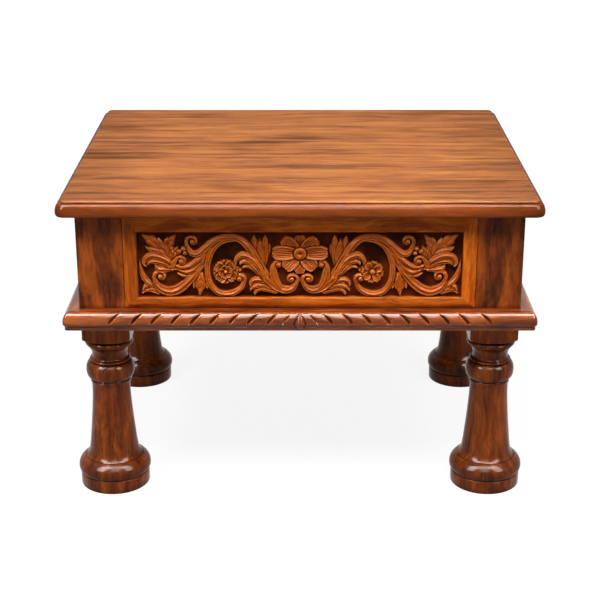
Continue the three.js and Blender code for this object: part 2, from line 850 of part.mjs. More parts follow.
// The square block, rounded off below as the lathe leaves it
function legBlock() {
  const top = baseUnderside - fit;
  const bottom = top - blockHeight;
  const half = blockSize / 2;
  const box = new THREE.BoxGeometry(blockSize, blockSize, blockHeight);
  box.translate(0, 0, (top + bottom) / 2);
  const corner = half * Math.SQRT2 + fit;
  const shoulder = turned([
    [0, bottom - fit], [half - fit, bottom - fit], [corner, bottom + blockShoulder],
    [corner + overrun, top + overrun], [0, top + overrun],
  ], legSides);
  return toGeometry(toSolid(box).intersect(toSolid(shoulder)));
}

function addLegs(parent) {
  const tenon = pin(tenonRadius, baseUnderside - blockHeight / 2, baseTop - fit, 0, 0);
  const body = joinAll([turned(legProfile(), legSides), legBlock(), tenon]);
  for (const corner of corners) {
    const group = cornerGroup(parent, corner, legInsetX, legInsetY, 0);
    group.rotation.z = 0;
    addPiece(group, `leg_${corner.name}`, darkWood, body.clone());
  }
}

// Cleats and screws inside, under the top

function cleatCentre(side) {
  return postInset + frameDepth + fit + cleatWidth / 2 - side.reach;
}

// Each cleat's two screws, as places on its side and on the plan of the whole table
function screwPlaces() {
  const places = [];
  for (const side of sides) {
    for (const end of [-1, 1]) {
      const local = new THREE.Vector3(end * side.span * screwPlaceShare, cleatCentre(side), 0);
      const world = local.clone().applyAxisAngle(up, side.turn);
      places.push({ side, local, x: world.x, y: world.y });
    }
  }
  return places;
}

// A round-headed screw standing on its cleat's underside
function screwBody() {
  return turned([
    [0, -screwHeadHeight], [screwHeadTop, -screwHeadHeight],
    [screwHeadRadius, -fit], [screwRadius, -fit],
    [screwRadius, screwLength - screwRadius - screwRadius], [0, screwLength - screwRadius],
  ], pinSides);
}

function addCleats(parent) {
  for (const side of sides) {
    const group = sideGroup(parent, side);
    const length = betweenPosts(side) - fit - fit;
    const box = new THREE.BoxGeometry(length, cleatWidth, cleatHeight);
    box.translate(0, cleatCentre(side), cleatUnderside + cleatHeight / 2);
    const places = screwPlaces().filter((place) => place.side === side);
    const holes = places.map(({ local }) => pin(
      screwRadius + fit, cleatUnderside - overrun, topUnderside + overrun, local.x, local.y));
    addPiece(group, `top_cleat_${side.name}`, plainWood, cutAll(box, holes));
    places.forEach(({ local }, index) => {
      const screw = addPiece(group, `cleat_screw_${side.name}_${index + 1}`, steel, screwBody());
      screw.position.set(local.x, local.y, cleatUnderside);
    });
  }
}

const table = new THREE.Group();
addTop(table);
addPosts(table);
addDowels(table);
addFrames(table);
addPanels(table);
addBase(table);
addLegs(table);
addCleats(table);

export default table;
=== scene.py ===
import math
from collections import namedtuple
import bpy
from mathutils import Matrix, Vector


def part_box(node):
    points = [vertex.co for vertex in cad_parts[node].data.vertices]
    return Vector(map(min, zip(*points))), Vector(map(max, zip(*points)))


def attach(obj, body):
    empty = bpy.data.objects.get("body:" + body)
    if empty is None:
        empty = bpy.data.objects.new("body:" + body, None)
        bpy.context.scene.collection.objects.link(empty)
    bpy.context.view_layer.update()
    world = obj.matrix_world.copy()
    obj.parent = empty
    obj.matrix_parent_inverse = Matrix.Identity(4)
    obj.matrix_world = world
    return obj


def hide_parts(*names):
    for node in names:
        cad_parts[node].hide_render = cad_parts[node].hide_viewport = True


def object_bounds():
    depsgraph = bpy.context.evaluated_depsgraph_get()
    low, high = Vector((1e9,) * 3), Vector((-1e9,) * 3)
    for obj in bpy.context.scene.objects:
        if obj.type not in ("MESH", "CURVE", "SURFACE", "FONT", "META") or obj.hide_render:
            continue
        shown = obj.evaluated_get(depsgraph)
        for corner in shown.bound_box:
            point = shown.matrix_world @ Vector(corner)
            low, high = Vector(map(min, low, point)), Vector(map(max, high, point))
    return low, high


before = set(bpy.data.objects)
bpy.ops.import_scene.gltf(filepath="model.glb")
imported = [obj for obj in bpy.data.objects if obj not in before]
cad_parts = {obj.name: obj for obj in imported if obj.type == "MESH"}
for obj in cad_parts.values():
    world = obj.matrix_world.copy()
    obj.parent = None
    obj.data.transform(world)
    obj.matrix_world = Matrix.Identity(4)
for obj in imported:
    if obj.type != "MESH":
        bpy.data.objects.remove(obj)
from types import SimpleNamespace

import bmesh
import bpy
import numpy as np
from mathutils import Matrix, Vector

cad_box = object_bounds()

# Camera: the table is seen straight from the front and a little from above, through a long lens,
# as in a shop picture.
CAMERA_LENS = 86.43
CAMERA_PLACE = (0, -1.922, 0.9182)
CAMERA_DIP = 20.65
scene = bpy.context.scene


def put_in(name, data):
    thing = bpy.data.objects.new(name, data)
    scene.collection.objects.link(thing)
    return thing


camera_data = bpy.data.cameras.new("camera")
camera_data.lens = CAMERA_LENS
camera = put_in("camera", camera_data)
camera.location = CAMERA_PLACE
camera.rotation_euler = (math.radians(90 - CAMERA_DIP), 0, 0)
scene.camera = camera
scene.view_settings.view_transform = "Standard"


# Floor and light: a white studio floor that runs out of the picture, lamps high up in front and to
# both sides, softboxes that only the varnish mirrors, and a little light all round.
def feed(tree, made, inputs):
    """Sets sockets of a node to values, or links them to other sockets."""
    for name, value in inputs.items():
        if isinstance(value, bpy.types.NodeSocket):
            tree.links.new(value, made.inputs[name])
        else:
            made.inputs[name].default_value = value


def node(tree, kind, inputs, **settings):
    made = tree.nodes.new("ShaderNode" + kind)
    for name, value in settings.items():
        setattr(made, name, value)
    feed(tree, made, inputs)
    return made


def maths(tree, operation, first, second=0.0):
    return node(tree, "Math", {0: first, 1: second}, operation=operation).outputs[0]


def spread(tree, value, low, high, to_low, to_high):
    return node(tree, "MapRange", {"Value": value, "From Min": low, "From Max": high,
                                   "To Min": to_low, "To Max": to_high}).outputs[0]


def seen_straight(tree):
    path = node(tree, "LightPath", {}).outputs
    seen = maths(tree, "MAXIMUM", path["Is Camera Ray"], path["Is Glossy Ray"])
    return maths(tree, "MAXIMUM", seen, path["Is Transmission Ray"])


def object_place(tree):
    return node(tree, "TexCoord", {}).outputs["Object"]


def new_finish(name):
    finish = bpy.data.materials.new(name)
    finish.use_nodes = True
    return finish, finish.node_tree, finish.node_tree.nodes["Principled BSDF"]


WHITE = (1, 1, 1, 1)
ROOM_LIGHT = 0.23
world = bpy.data.worlds.new("studio")
world.use_nodes = True
tree = world.node_tree
feed(tree, tree.nodes["Background"], {
    "Color": WHITE, "Strength": spread(tree, seen_straight(tree), 0.0, 1.0, ROOM_LIGHT, 1.0)})
scene.world = world

FLOOR_SIZE = 30.0
FLOOR_TONE = 0.2
# How white the floor looks at the table, and how far from it it starts to turn pure white
FLOOR_GLOW = 0.88
GLOW_START = 0.6
GLOW_END = 1.8
floor_shape = bmesh.new()
bmesh.ops.create_grid(floor_shape, x_segments=2, y_segments=2, size=FLOOR_SIZE / 2)
floor_mesh = bpy.data.meshes.new("floor")
floor_shape.to_mesh(floor_mesh)
floor_shape.free()
floor = put_in("floor", floor_mesh)
floor_paint, tree, shader = new_finish("studio_floor")
away = node(tree, "VectorMath", {0: object_place(tree)}, operation="LENGTH").outputs["Value"]
whiteness = spread(tree, away, GLOW_START, GLOW_END, FLOOR_GLOW, 1.0)
feed(tree, shader, {"Base Color": (FLOOR_TONE, FLOOR_TONE, FLOOR_TONE, 1), "Roughness": 0.9,
                    "Specular IOR Level": 0.0, "Emission Color": WHITE,
                    "Emission Strength": maths(tree, "MULTIPLY", seen_straight(tree), whiteness)})
floor_mesh.materials.append(floor_paint)

# The softboxes only show as highlights in the varnish, and the lamps light the wood itself
LAMP_AIM = Vector((0, 0, 0.25))
for name, place, (width, height), power in [
        ("lamp_front", (0.0, -1.38, 2.3), (1.4, 0.7), 46.0),
        ("lamp_left", (-1.3, -0.9, 2.3), (0.6, 0.6), 21.0),
        ("lamp_right", (1.3, -0.9, 2.3), (0.6, 0.6), 15.0),
        ("softbox_front", (0.0, -1.9, 1.9), (1.0, 1.3), 65.0),
        ("softbox_above", (0.0, -0.75, 2.4), (1.8, 1.1), 190.0),
        ("softbox_left", (-1.35, -1.25, 1.9), (0.9, 2.0), 300.0),
        ("softbox_right", (1.35, -1.25, 1.9), (0.9, 2.0), 220.0)]:
    lamp_data = bpy.data.lights.new(name, "AREA")
    lamp_data.shape = "RECTANGLE"
    lamp_data.size = width
    lamp_data.size_y = height
    lamp_data.energy = power
    lamp = put_in(name, lamp_data)
    lamp.location = place
    lamp.rotation_euler = (LAMP_AIM - lamp.location).to_track_quat("-Z", "Y").to_euler()
    lamp.visible_diffuse = name.startswith("lamp")


# Legs: four legs of dark sheesham, each turned from one square billet. The lathe left the block
# at the top square, and the tenon above it goes up through the base, glued and wedged.
def srgb(red, green, blue):
    """A colour as it is seen on a screen, for a shader's socket."""
    return tuple((c / 255 / 12.92) if c / 255 <= 0.04045 else ((c / 255 + 0.055) / 1.055) ** 2.4
                 for c in (red, green, blue)) + (1.0,)


def blend(tree, how, factor, first, second):
    return node(tree, "Mix", {0: factor, 6: first, 7: second}, data_type="RGBA",
                blend_type=how).outputs[2]


# Where the tones of a wood lie on its ramp, from dark to light
TONE_PLACES = (0.28, 0.42, 0.50, 0.58, 0.72)
GRAIN_TURNS = {"x": (0, 0, 0), "y": (0, 0, -math.pi / 2), "z": (0, math.pi / 2, 0)}
# Scales of the figure across the grain
FLAMES, STREAKS, FIBRES, PORES = 62.0, 210.0, 700.0, 1500.0
# Colour of the painted shade in quirks, corners and under other parts
CORNER_SHADE = (26, 8, 3)


def noise(tree, vector, scale, detail, roughness=0.55):
    return node(tree, "TexNoise", {"Vector": vector, "Scale": scale, "Detail": detail,
                                   "Roughness": roughness})


def varnished_wood(name, tones, along, seed, places=TONE_PLACES, figure=0.25, mottle=0.8,
                   length=0.2, size=1.0, reach=0.009, coat=0.45, varnish=1.2, shine=0.03,
                   worked=None):
    """Sheesham under varnish: flames that wander, dark streaks, fine fibres and pores along the
    grain, and painted shade in the quirks, corners and under other parts. Then what work and
    wear did to it, and the painted light and shade of each kind of piece."""
    finish, tree, shader = new_finish(name)
    shift = [((seed * step) % 7 - 3) * 0.37 for step in (1.31, 2.17, 3.73)]
    place = object_place(tree)
    grain = node(tree, "Mapping", {"Vector": place, "Location": shift,
                                   "Rotation": GRAIN_TURNS[along]}).outputs[0]

    def vectors(operation, first, second):
        return node(tree, "VectorMath", {0: first, 1: second}, operation=operation).outputs[0]

    def drawn(stretch, scale, detail, roughness=0.55):
        stretched = vectors("MULTIPLY", wandering, (stretch, 1, 1))
        return noise(tree, stretched, scale, detail, roughness).outputs["Fac"]

    wander = noise(tree, vectors("MULTIPLY", grain, (0.5, 1, 1)), 16.0 / size, 2.0)
    wander = vectors("SUBTRACT", wander.outputs["Color"], (0.5, 0.5, 0.5))
    wandering = vectors("ADD", grain, vectors("MULTIPLY", wander, (0, 0.03, 0.03)))

    flames = drawn(length, FLAMES / size, 4.0, 0.62)
    streaks = drawn(0.09, STREAKS / size, 3.0)
    fibres = drawn(0.05, FIBRES / size, 2.0)
    heart = vectors("ADD", vectors("MULTIPLY", wandering, (0.12, 1, 1)), (0.0, 0.031, 0.022))
    rings = node(tree, "TexWave", {"Vector": heart, "Scale": 16.0, "Distortion": 3.0,
                                   "Detail": 3.0, "Detail Scale": 1.2},
                 wave_type="RINGS", rings_direction="X").outputs["Fac"]
    tone = 0.0
    for figuring, weight in ((flames, mottle), (streaks, 0.5), (fibres, 0.3), (rings, figure)):
        centred = maths(tree, "SUBTRACT", figuring, 0.5)
        tone = maths(tree, "ADD", tone, maths(tree, "MULTIPLY", centred, weight))
    ramp = node(tree, "ValToRGB", {"Fac": maths(tree, "ADD", tone, 0.5)})
    stops = ramp.color_ramp.elements
    for _ in tones[2:]:
        stops.new(0.5)
    for stop, position, colour in zip(stops, places, tones):
        stop.position = position
        stop.color = srgb(*colour)
    pore = spread(tree, drawn(0.09, PORES, 2.0), 0.6, 0.72, 1.0, 0.7)
    # Painted shade: the colour darkens where other surfaces close in round a place
    hollow = node(tree, "AmbientOcclusion", {"Distance": reach}, samples=8).outputs["AO"]
    wood = SimpleNamespace(place=place, grain=grain, drawn=drawn, hollow=hollow, coat=coat,
                           colour=blend(tree, "MULTIPLY", 1.0, ramp.outputs[0], pore),
                           shade_colour=srgb(*CORNER_SHADE),
                           shaded=spread(tree, hollow, 0.25, 0.9, 0.92, 0.0))
    if worked:
        worked(tree, wood)
    colour = blend(tree, "MIX", wood.shaded, wood.colour, wood.shade_colour)
    waves = noise(tree, grain, 38.0, 2.0).outputs["Fac"]
    height = maths(tree, "ADD", maths(tree, "MULTIPLY", pore, 0.35), fibres)
    fine = node(tree, "Bump", {"Strength": 0.35, "Distance": 0.00025, "Height": height})
    broad = node(tree, "Bump", {"Strength": 0.25, "Distance": 0.0012, "Height": waves,
                                "Normal": fine.outputs[0]})
    soft = node(tree, "Bump", {"Strength": 0.15, "Distance": 0.0012, "Height": waves})
    feed(tree, shader, {
        "Base Color": colour, "Roughness": spread(tree, fibres, 0.3, 0.7, 0.38, 0.52),
        "Specular IOR Level": shine, "Specular Tint": (1.0, 0.6, 0.4, 1.0),
        "Coat Weight": wood.coat, "Coat Roughness": 0.13, "Coat IOR": varnish,
        "Normal": broad.outputs[0], "Coat Normal": soft.outputs[0]})
    return finish


def finish_piece(shape, name, finish, slot, *nodes, sharp=32):
    """The finished mesh as a piece of the table, in the place of its solids."""
    bmesh.ops.remove_doubles(shape, verts=shape.verts, dist=1e-6)
    bmesh.ops.recalc_face_normals(shape, faces=shape.faces)
    mesh = bpy.data.meshes.new(name)
    shape.to_mesh(mesh)
    shape.free()
    mesh.shade_smooth()
    mesh.set_sharp_from_angle(angle=math.radians(sharp))
    mesh.materials.append(finish)
    piece = put_in(name, mesh)
    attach(piece, "root")
    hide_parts(*nodes)


def smooth_run(points, steps):
    """More points on a smooth curve through the given ones."""
    course = np.array(points, float)
    padded = np.vstack([2 * course[0] - course[1], course, 2 * course[-1] - course[-2]])
    run = []
    for before, start, end, after in zip(padded, padded[1:], padded[2:], padded[3:]):
        for t in np.arange(steps) / steps:
            run.append(start + 0.5 * t * (end - before + t * (
                2 * before - 5 * start + 4 * end - after
                + t * (3 * (start - end) + after - before))))
    return np.array(run + [course[-1]])


MM = 0.001
DARK_TONES = ((70, 28, 10), (114, 50, 15), (134, 61, 18), (152, 72, 22), (184, 94, 30))
LEG_BLOCK_HALF = 31.0
LEG_BLOCK_CORNER = 43.2
LEG_BLOCK_BOTTOM = 209.5
LEG_TURNS = 144
# Radius and level in mm. A run starts where the one before it ended, at a sharp quirk or arris.
LEG_RUNS = [
    [(44.6, 0)], [(45.5, 0.4), (45.8, 1.4)], [(45.8, 16.6)], [(45.5, 17.7), (44.3, 18.4)],
    [(44.8, 19.0)],
    [(46.5, 20.2), (47.7, 22.9), (48.0, 26.0), (47.7, 29.2), (46.6, 32.6), (44.4, 35.9),
     (41.6, 38.6), (38.6, 40.7)], [(37.7, 40.4), (37.5, 41.5)],
    [(35.6, 43.4), (33.8, 46.6), (32.6, 50.6), (31.9, 55.5), (31.0, 62.0), (30.2, 70.0),
     (29.3, 79.0), (28.2, 90.0), (27.2, 101.0), (26.4, 111.6), (25.8, 120.0), (25.3, 129.0),
     (25.1, 137.6), (25.2, 143.0), (25.5, 147.0)],
    [(26.3, 148.0), (26.6, 149.8), (26.3, 151.5), (25.4, 152.2)], [(25.2, 153.0), (27.0, 153.7)],
    [(29.2, 155.2), (30.8, 158.2), (31.6, 162.4), (31.7, 166.2), (31.2, 170.2), (29.9, 173.8),
     (28.0, 176.4), (26.6, 177.1)], [(24.9, 177.2), (24.9, 178.0)],
    [(26.6, 178.5), (26.7, 180.0), (25.7, 181.1)], [(23.8, 181.3), (23.8, 182.1)],
    [(23.0, 183.2), (22.8, 185.0), (23.1, 188.4), (24.2, 192.4), (26.0, 196.0), (28.2, 199.0)],
    [(27.4, 199.8), (28.6, 200.6)],
    [(30.6, 201.6), (31.3, 203.4), (31.0, 205.4), (29.8, 207.2), (28.0, 208.2)],
    [(26.8, 208.6), (26.8, 210.1)],
    [(30.6, 210.3), (34.2, 210.9), (38.8, 212.5), (42.4, 214.9), (44.0, 216.9)], [(44.0, 244.5)],
    [(11.0, 244.5)], [(11.0, 267.7), (10.2, 268.5), (0, 268.5)]
]

# Levels, in metres, between which a leg's colour darkens towards the foot, and the painted light
# on the block begins
LEG_FOOT, LEG_SHAFT, LEG_BLOCK = (0.018, 0.0195), (0.041, 0.09), (0.2, 0.212)


def turned_wood(tree, wood):
    """The foot and the thin end of the shaft are darker, and the block is painted lighter:
    painted light against the shadow that the base casts on it.
    """
    level = node(tree, "SeparateXYZ", {"Vector": wood.place}).outputs["Z"]
    foot = maths(tree, "MAXIMUM", spread(tree, level, *LEG_FOOT, 0.88, 0.0),
                 spread(tree, level, *LEG_SHAFT, 0.6, 1.0))
    # Painted light: the block, in the shadow of the base, is made lighter
    painted_block_light = spread(tree, level, *LEG_BLOCK, 1.0, 1.5)
    wood.colour = blend(tree, "MULTIPLY", 1.0, wood.colour, maths(tree, "MULTIPLY", foot, painted_block_light))


for seed, corner in enumerate(("front_left", "front_right", "back_right", "back_left")):
    low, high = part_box(f"leg_{corner}")
    axis = (low + high) / 2
    leg = bmesh.new()
    outline, start = [], (0, 0)
    for run in LEG_RUNS:
        for radius, level in smooth_run([start] + run, 4 if len(run) > 1 else 1):
            outline.append(leg.verts.new((radius * MM, 0, level * MM)))
        start = run[-1]
    edges = [leg.edges.new(pair) for pair in zip(outline, outline[1:])]
    bmesh.ops.spin(leg, geom=outline + edges, cent=(0, 0, 0), axis=(0, 0, 1),
                   angle=2 * math.pi, steps=LEG_TURNS, use_merge=True)
    bmesh.ops.remove_doubles(leg, verts=leg.verts, dist=1e-5)
    for vert in leg.verts:
        if vert.co.z > LEG_BLOCK_BOTTOM * MM:
            reach = math.hypot(vert.co.x, vert.co.y)
            for axis_index in (0, 1):
                if reach > LEG_BLOCK_CORNER * MM:
                    vert.co[axis_index] *= LEG_BLOCK_CORNER * MM / reach
                vert.co[axis_index] = max(-LEG_BLOCK_HALF * MM,
                                          min(LEG_BLOCK_HALF * MM, vert.co[axis_index]))
    bmesh.ops.translate(leg, verts=leg.verts, vec=(axis.x, axis.y, 0))
    wood = varnished_wood(f"leg_wood_{corner}", DARK_TONES, "z", 11 + seed, figure=0.1,
                          mottle=0.75, length=0.22, reach=0.011, coat=0.65, worked=turned_wood)
    finish_piece(leg, f"turned_leg_{corner}", wood, "leg_wood", f"leg_{corner}", sharp=38)


# Base: four boards mitred into one frame, which carries the posts and stands on the legs. The
# nose along the outside is gouged as a rope towards both corners, with a drop in the middle.
HALF_WIDTH, HALF_DEPTH = 0.300, 0.250
SIDES = {"front": (0, HALF_WIDTH, HALF_DEPTH), "right": (1, HALF_DEPTH, HALF_WIDTH),
         "back": (2, HALF_WIDTH, HALF_DEPTH), "left": (3, HALF_DEPTH, HALF_WIDTH)}
BASE_LEVEL = 244.8
BASE_EDGE = 2.0
BASE_THICKNESS = 24.0
BASE_WIDTH = 112.0
BASE_CORNER = 6.0
NOSE_REACH = 8.0
NOSE_BELLY = 9.0
NOSE_RISE = 14.0
NOSE_UNDERCUT = 3.0
NOSE_FALL = 3.4
ROPE_LEVEL = 30.0
ROPE_SLANT = 10.2
ROPE_BEND = 2.5
ROPE_LEAN = 42
ROPE_REACH = 0.66
ROPE_TAIL = 0.24
ROPE_RIM = 1.6
ROPE_DEPTH = 3.3
ROPE_HALF_WIDTH = 2.3
ROPE_CUTS = [(18.0, 0.62), (36.5, 0.95), (61.0, 1.0), (84.5, 0.92), (108.5, 1.0), (132.5, 1.05),
             (157.0, 0.95), (182.0, 1.0), (206.5, 1.0), (235.0, 1.02)]
ROPE_PLAIN_END = 60.0
ROPE_RIDGE = 1.1
RIDGE_STEP = 1.2
DROP_RADIUS = 6.5
DROP_BELLY = 9.5
DROP_TIP = 23.0
DROP_THICKNESS = 5.8
DROP_CUT = 1.5
BASE_CELL = 0.7
JOINT_GAP = 0.3


def ease(low, high, value):
    share = np.clip((value - low) / (high - low), 0, 1)
    return share * share * (3 - 2 * share)


def bell(offset, width):
    return np.exp(-(offset / width) ** 2)


def dome(share):
    return np.sqrt(np.clip(1 - share ** 2, 0, 1))


def rope_depth(along, turn, half_span):
    """How deep the gouge went at a place on the nose, in mm: turn is the place round it."""
    depth = np.zeros(along.shape)
    rise = np.radians(turn - ROPE_LEVEL)
    for place, size in ROPE_CUTS:
        if place > half_span - ROPE_PLAIN_END:
            continue
        across = np.abs(along) - place + ROPE_SLANT * rise + ROPE_BEND * rise ** 2
        across = across * math.cos(math.radians(ROPE_LEAN))
        lens = dome((rise - 0.03) / (ROPE_REACH * size ** 0.5))
        tail = ROPE_TAIL * ease(0.2, 0.5, rise) * ease(1.0, 0.8, rise)
        lens = np.maximum(lens, tail) * size
        wide = ROPE_HALF_WIDTH * lens + 1e-6
        share = np.clip(np.abs(across) / wide, 0, 1)
        gouge = ROPE_DEPTH * lens * (1 - share ** 3)
        soft = 0.6 * lens * bell(across, wide + ROPE_RIM)
        depth = np.maximum(depth, gouge + soft)
    return depth


def drop_inset(along, level):
    """How far the face of the drop lies in from the outer edge, in mm, and the cut round it."""
    round_part = np.sqrt(np.clip(DROP_RADIUS ** 2 - (level - DROP_BELLY) ** 2, 0, None))
    shoulder = DROP_BELLY + DROP_RADIUS * 0.38
    taper = DROP_RADIUS * 0.92 * np.clip((DROP_TIP - level) / (DROP_TIP - shoulder), 0, 1) ** 0.8
    half = np.where(level < shoulder, round_part, taper) + 1e-6
    aside = np.abs(along) / half
    face = NOSE_REACH / 2 - DROP_THICKNESS * dome(aside) * half / DROP_RADIUS
    face += 0.45 * bell(along, 0.7) * ease(3.5, 6.0, level)
    cut = DROP_CUT * bell(np.abs(along) - half - 0.7, 0.8)
    return np.where(aside < 1, face, np.inf), np.where((half > 0.4) & (aside > 1), cut, 0.0)


def verts_of(geometry):
    return [item for item in geometry if isinstance(item, bmesh.types.BMVert)]


def face_side(shape, turns):
    """Turns a shape that was made for the front to another side of the table."""
    bmesh.ops.rotate(shape, verts=shape.verts, cent=(0, 0, 0),
                     matrix=Matrix.Rotation(turns * math.pi / 2, 3, "Z"))


# Inset and level in mm, and the place round the nose in degrees where it is carved
base_edge = [(4.2, 0.0, 0), (3.0, 0.3, 0), (2.5, 1.0, 0), (2.5, 4.7, 0), (2.9, 5.3, 0),
             (4.1, 5.3, 0), (4.0, 5.7, 0)]
for turn in np.linspace(-78, 0, 8)[:-1]:
    base_edge.append((NOSE_UNDERCUT * (1 - math.cos(math.radians(turn))),
                      NOSE_BELLY + NOSE_FALL * math.sin(math.radians(turn)), turn))
for turn in np.linspace(0, 84, 27):
    base_edge.append((NOSE_REACH * (1 - math.cos(math.radians(turn))),
                      NOSE_BELLY + NOSE_RISE * math.sin(math.radians(turn)), turn))
base_edge += [(8.5, 22.8, 84), (9.0, 23.1, 0), (9.0, 23.6, 0), (8.6, 24.0, 0)]
BASE_TONES = ((94, 37, 10), (122, 53, 15), (137, 62, 20), (152, 72, 24), (176, 88, 32))
# Pale colour of the worn ridges, partly a painted highlight, and colours of the painted shade on
# the ground
RIDGE_WEAR_AND_HIGHLIGHT = (226, 140, 66)
GROUND_SHADES = ((44, 16, 4), (100, 41, 11))


def carved_wood(tree, wood):
    """Painted shade lies on the low ground, in the cuts and in the hollows, and the ridges are
    worn pale and polished, with a painted highlight on them.
    """
    lift, ridge = (node(tree, "Attribute", {}, attribute_name=kept).outputs["Fac"]
                   for kept in ("carving", "ridge"))
    # Wear and a painted highlight make the ridges paler
    worn_and_lit = spread(tree, ridge, 0.35, 0.9, 0.0, 0.6)
    wood.colour = blend(tree, "MIX", worn_and_lit, wood.colour, srgb(*RIDGE_WEAR_AND_HIGHLIGHT))
    # Painted shade on the low ground, in the cuts and hollows, and where other surfaces close in
    deep = maths(tree, "MAXIMUM", spread(tree, wood.hollow, 0.2, 0.75, 0.8, 0.0),
                 spread(tree, lift, 0.08, 0.55, 1.0, 0.0))
    wood.shaded = maths(tree, "MAXIMUM", deep, spread(tree, ridge, -1.0, -0.25, 0.8, 0.0))
    patches = noise(tree, wood.grain, 30.0, 3.0).outputs["Fac"]
    wood.shade_colour = blend(tree, "MIX", spread(tree, patches, 0.38, 0.62, 0.0, 1.0),
                       *(srgb(*shade_colour) for shade_colour in GROUND_SHADES))
    wood.coat = spread(tree, lift, 0.1, 0.6, 0.0, wood.coat)


for seed, (side, (turns, half_span, reach)) in enumerate(SIDES.items()):
    board = bmesh.new()
    half_length = half_span / MM - BASE_EDGE - JOINT_GAP
    segments = round(2 * half_length / BASE_CELL)
    bmesh.ops.create_grid(board, x_segments=segments, y_segments=len(base_edge) - 1, size=1)
    spots = np.array([vert.co for vert in board.verts])
    rows = np.round((spots[:, 1] + 1) / 2 * (len(base_edge) - 1)).astype(int)
    inset, level, turn = np.array(base_edge)[rows].T
    corner = np.clip(BASE_CORNER - inset, 0, None)
    along = spots[:, 0] * (half_length - inset - corner * (1 - math.sqrt(0.5)))
    to_end = np.clip(half_length - inset - np.abs(along), 0, corner)
    inset = inset + corner - np.sqrt(np.clip(corner ** 2 - (corner - to_end) ** 2, 0, None))
    cut = np.where(turn != 0, rope_depth(along, turn, half_span / MM), 0)
    beside = sum(rope_depth(along + aside, turn, half_span / MM)
                 for aside in (-RIDGE_STEP, RIDGE_STEP)) / 2
    ridge = np.where(turn != 0, (beside - cut) / ROPE_RIDGE, 0)
    drop, drop_cut = drop_inset(along, level)
    cut = np.maximum(cut, np.where(level > 6, drop_cut, drop_cut * 0.5))
    ridge = np.clip(ridge - drop_cut * 0.7, -1, 1)
    inset = inset + cut * np.cos(np.radians(turn))
    level = level - cut * np.sin(np.radians(turn)) * 0.6
    inset = np.minimum(inset, drop)
    # Depth of the gouges and the ridges of their lips: carved_wood paints shade in the cuts, and
    # wear with a painted highlight on the lips
    lifted = board.verts.layers.float.new("carving")
    ridged = board.verts.layers.float.new("ridge")
    left = 1 - np.clip(cut / ROPE_DEPTH, 0, 1)
    for vert, x, y, z, lift, sharp in zip(board.verts, along, inset, level, left, ridge):
        vert.co = (x * MM, -reach + (BASE_EDGE + y) * MM, (BASE_LEVEL + z) * MM)
        vert[lifted], vert[ridged] = lift, sharp
    rim = [edge for edge in board.edges if edge.is_boundary]
    lower = [edge for edge in rim if all(v.co.z < (BASE_LEVEL + 0.01) * MM for v in edge.verts)]
    upper = [edge for edge in rim
             if all(v.co.z > (BASE_LEVEL + BASE_THICKNESS - 0.01) * MM for v in edge.verts)]
    for edges in (lower, upper):
        moved = verts_of(bmesh.ops.extrude_edge_only(board, edges=edges)["geom"])
        outer = max(vert.co.x for vert in moved)
        for vert in moved:
            vert[lifted], vert[ridged] = 1.0, 0.0
            vert.co.x *= (half_length - BASE_WIDTH) * MM / outer
            vert.co.y = -reach + (BASE_EDGE + BASE_WIDTH) * MM
    bmesh.ops.holes_fill(board, edges=board.edges, sides=0)
    face_side(board, turns)
    wood = varnished_wood(f"base_wood_{side}", BASE_TONES, "xyxy"[turns], 31 + seed,
                          coat=0.95, varnish=1.3, worked=carved_wood)
    finish_piece(board, f"rope_board_{side}", wood, "dark_wood", f"base_board_{side}")


# Posts: four square posts of dark sheesham, doweled to the base below and grooved for the tongues
# of the frames. Their arrises are sanded round.
POST_HALF = 29.0
POST_CENTRE = 51.0
POST_BOTTOM = 269.1
POST_TOP = 393.7
POST_ARRIS = 1.5
GROOVE_NEAR = -19.3
GROOVE_FAR = -11.7
GROOVE_END = 22.7
POST_OUTLINE = [(-POST_HALF, -POST_HALF), (POST_HALF, -POST_HALF), (POST_HALF, GROOVE_NEAR),
                (GROOVE_END, GROOVE_NEAR), (GROOVE_END, GROOVE_FAR), (POST_HALF, GROOVE_FAR),
                (POST_HALF, POST_HALF), (GROOVE_FAR, POST_HALF), (GROOVE_FAR, GROOVE_END),
                (GROOVE_NEAR, GROOVE_END), (GROOVE_NEAR, POST_HALF), (-POST_HALF, POST_HALF)]
POST_TONES = ((66, 32, 16), (108, 48, 18), (126, 57, 18), (146, 68, 20), (172, 84, 27))


def extruded(outline, start, end):
    """A bar between two levels on Z, from its outline in mm on the plan."""
    shape = bmesh.new()
    face = shape.faces.new([shape.verts.new((x * MM, y * MM, start * MM)) for x, y in outline])
    made = bmesh.ops.extrude_face_region(shape, geom=[face], use_keep_orig=True)["geom"]
    bmesh.ops.translate(shape, verts=verts_of(made), vec=(0, 0, (end - start) * MM))
    return shape


def is_upright(edge):
    return abs(edge.verts[0].co.z - edge.verts[1].co.z) > MM


def round_edges(shape, chosen, radius, segments=3):
    bmesh.ops.bevel(shape, geom=chosen, offset=radius * MM, offset_type="OFFSET", affect="EDGES",
                    segments=segments, profile=0.5, material=-1, clamp_overlap=True)


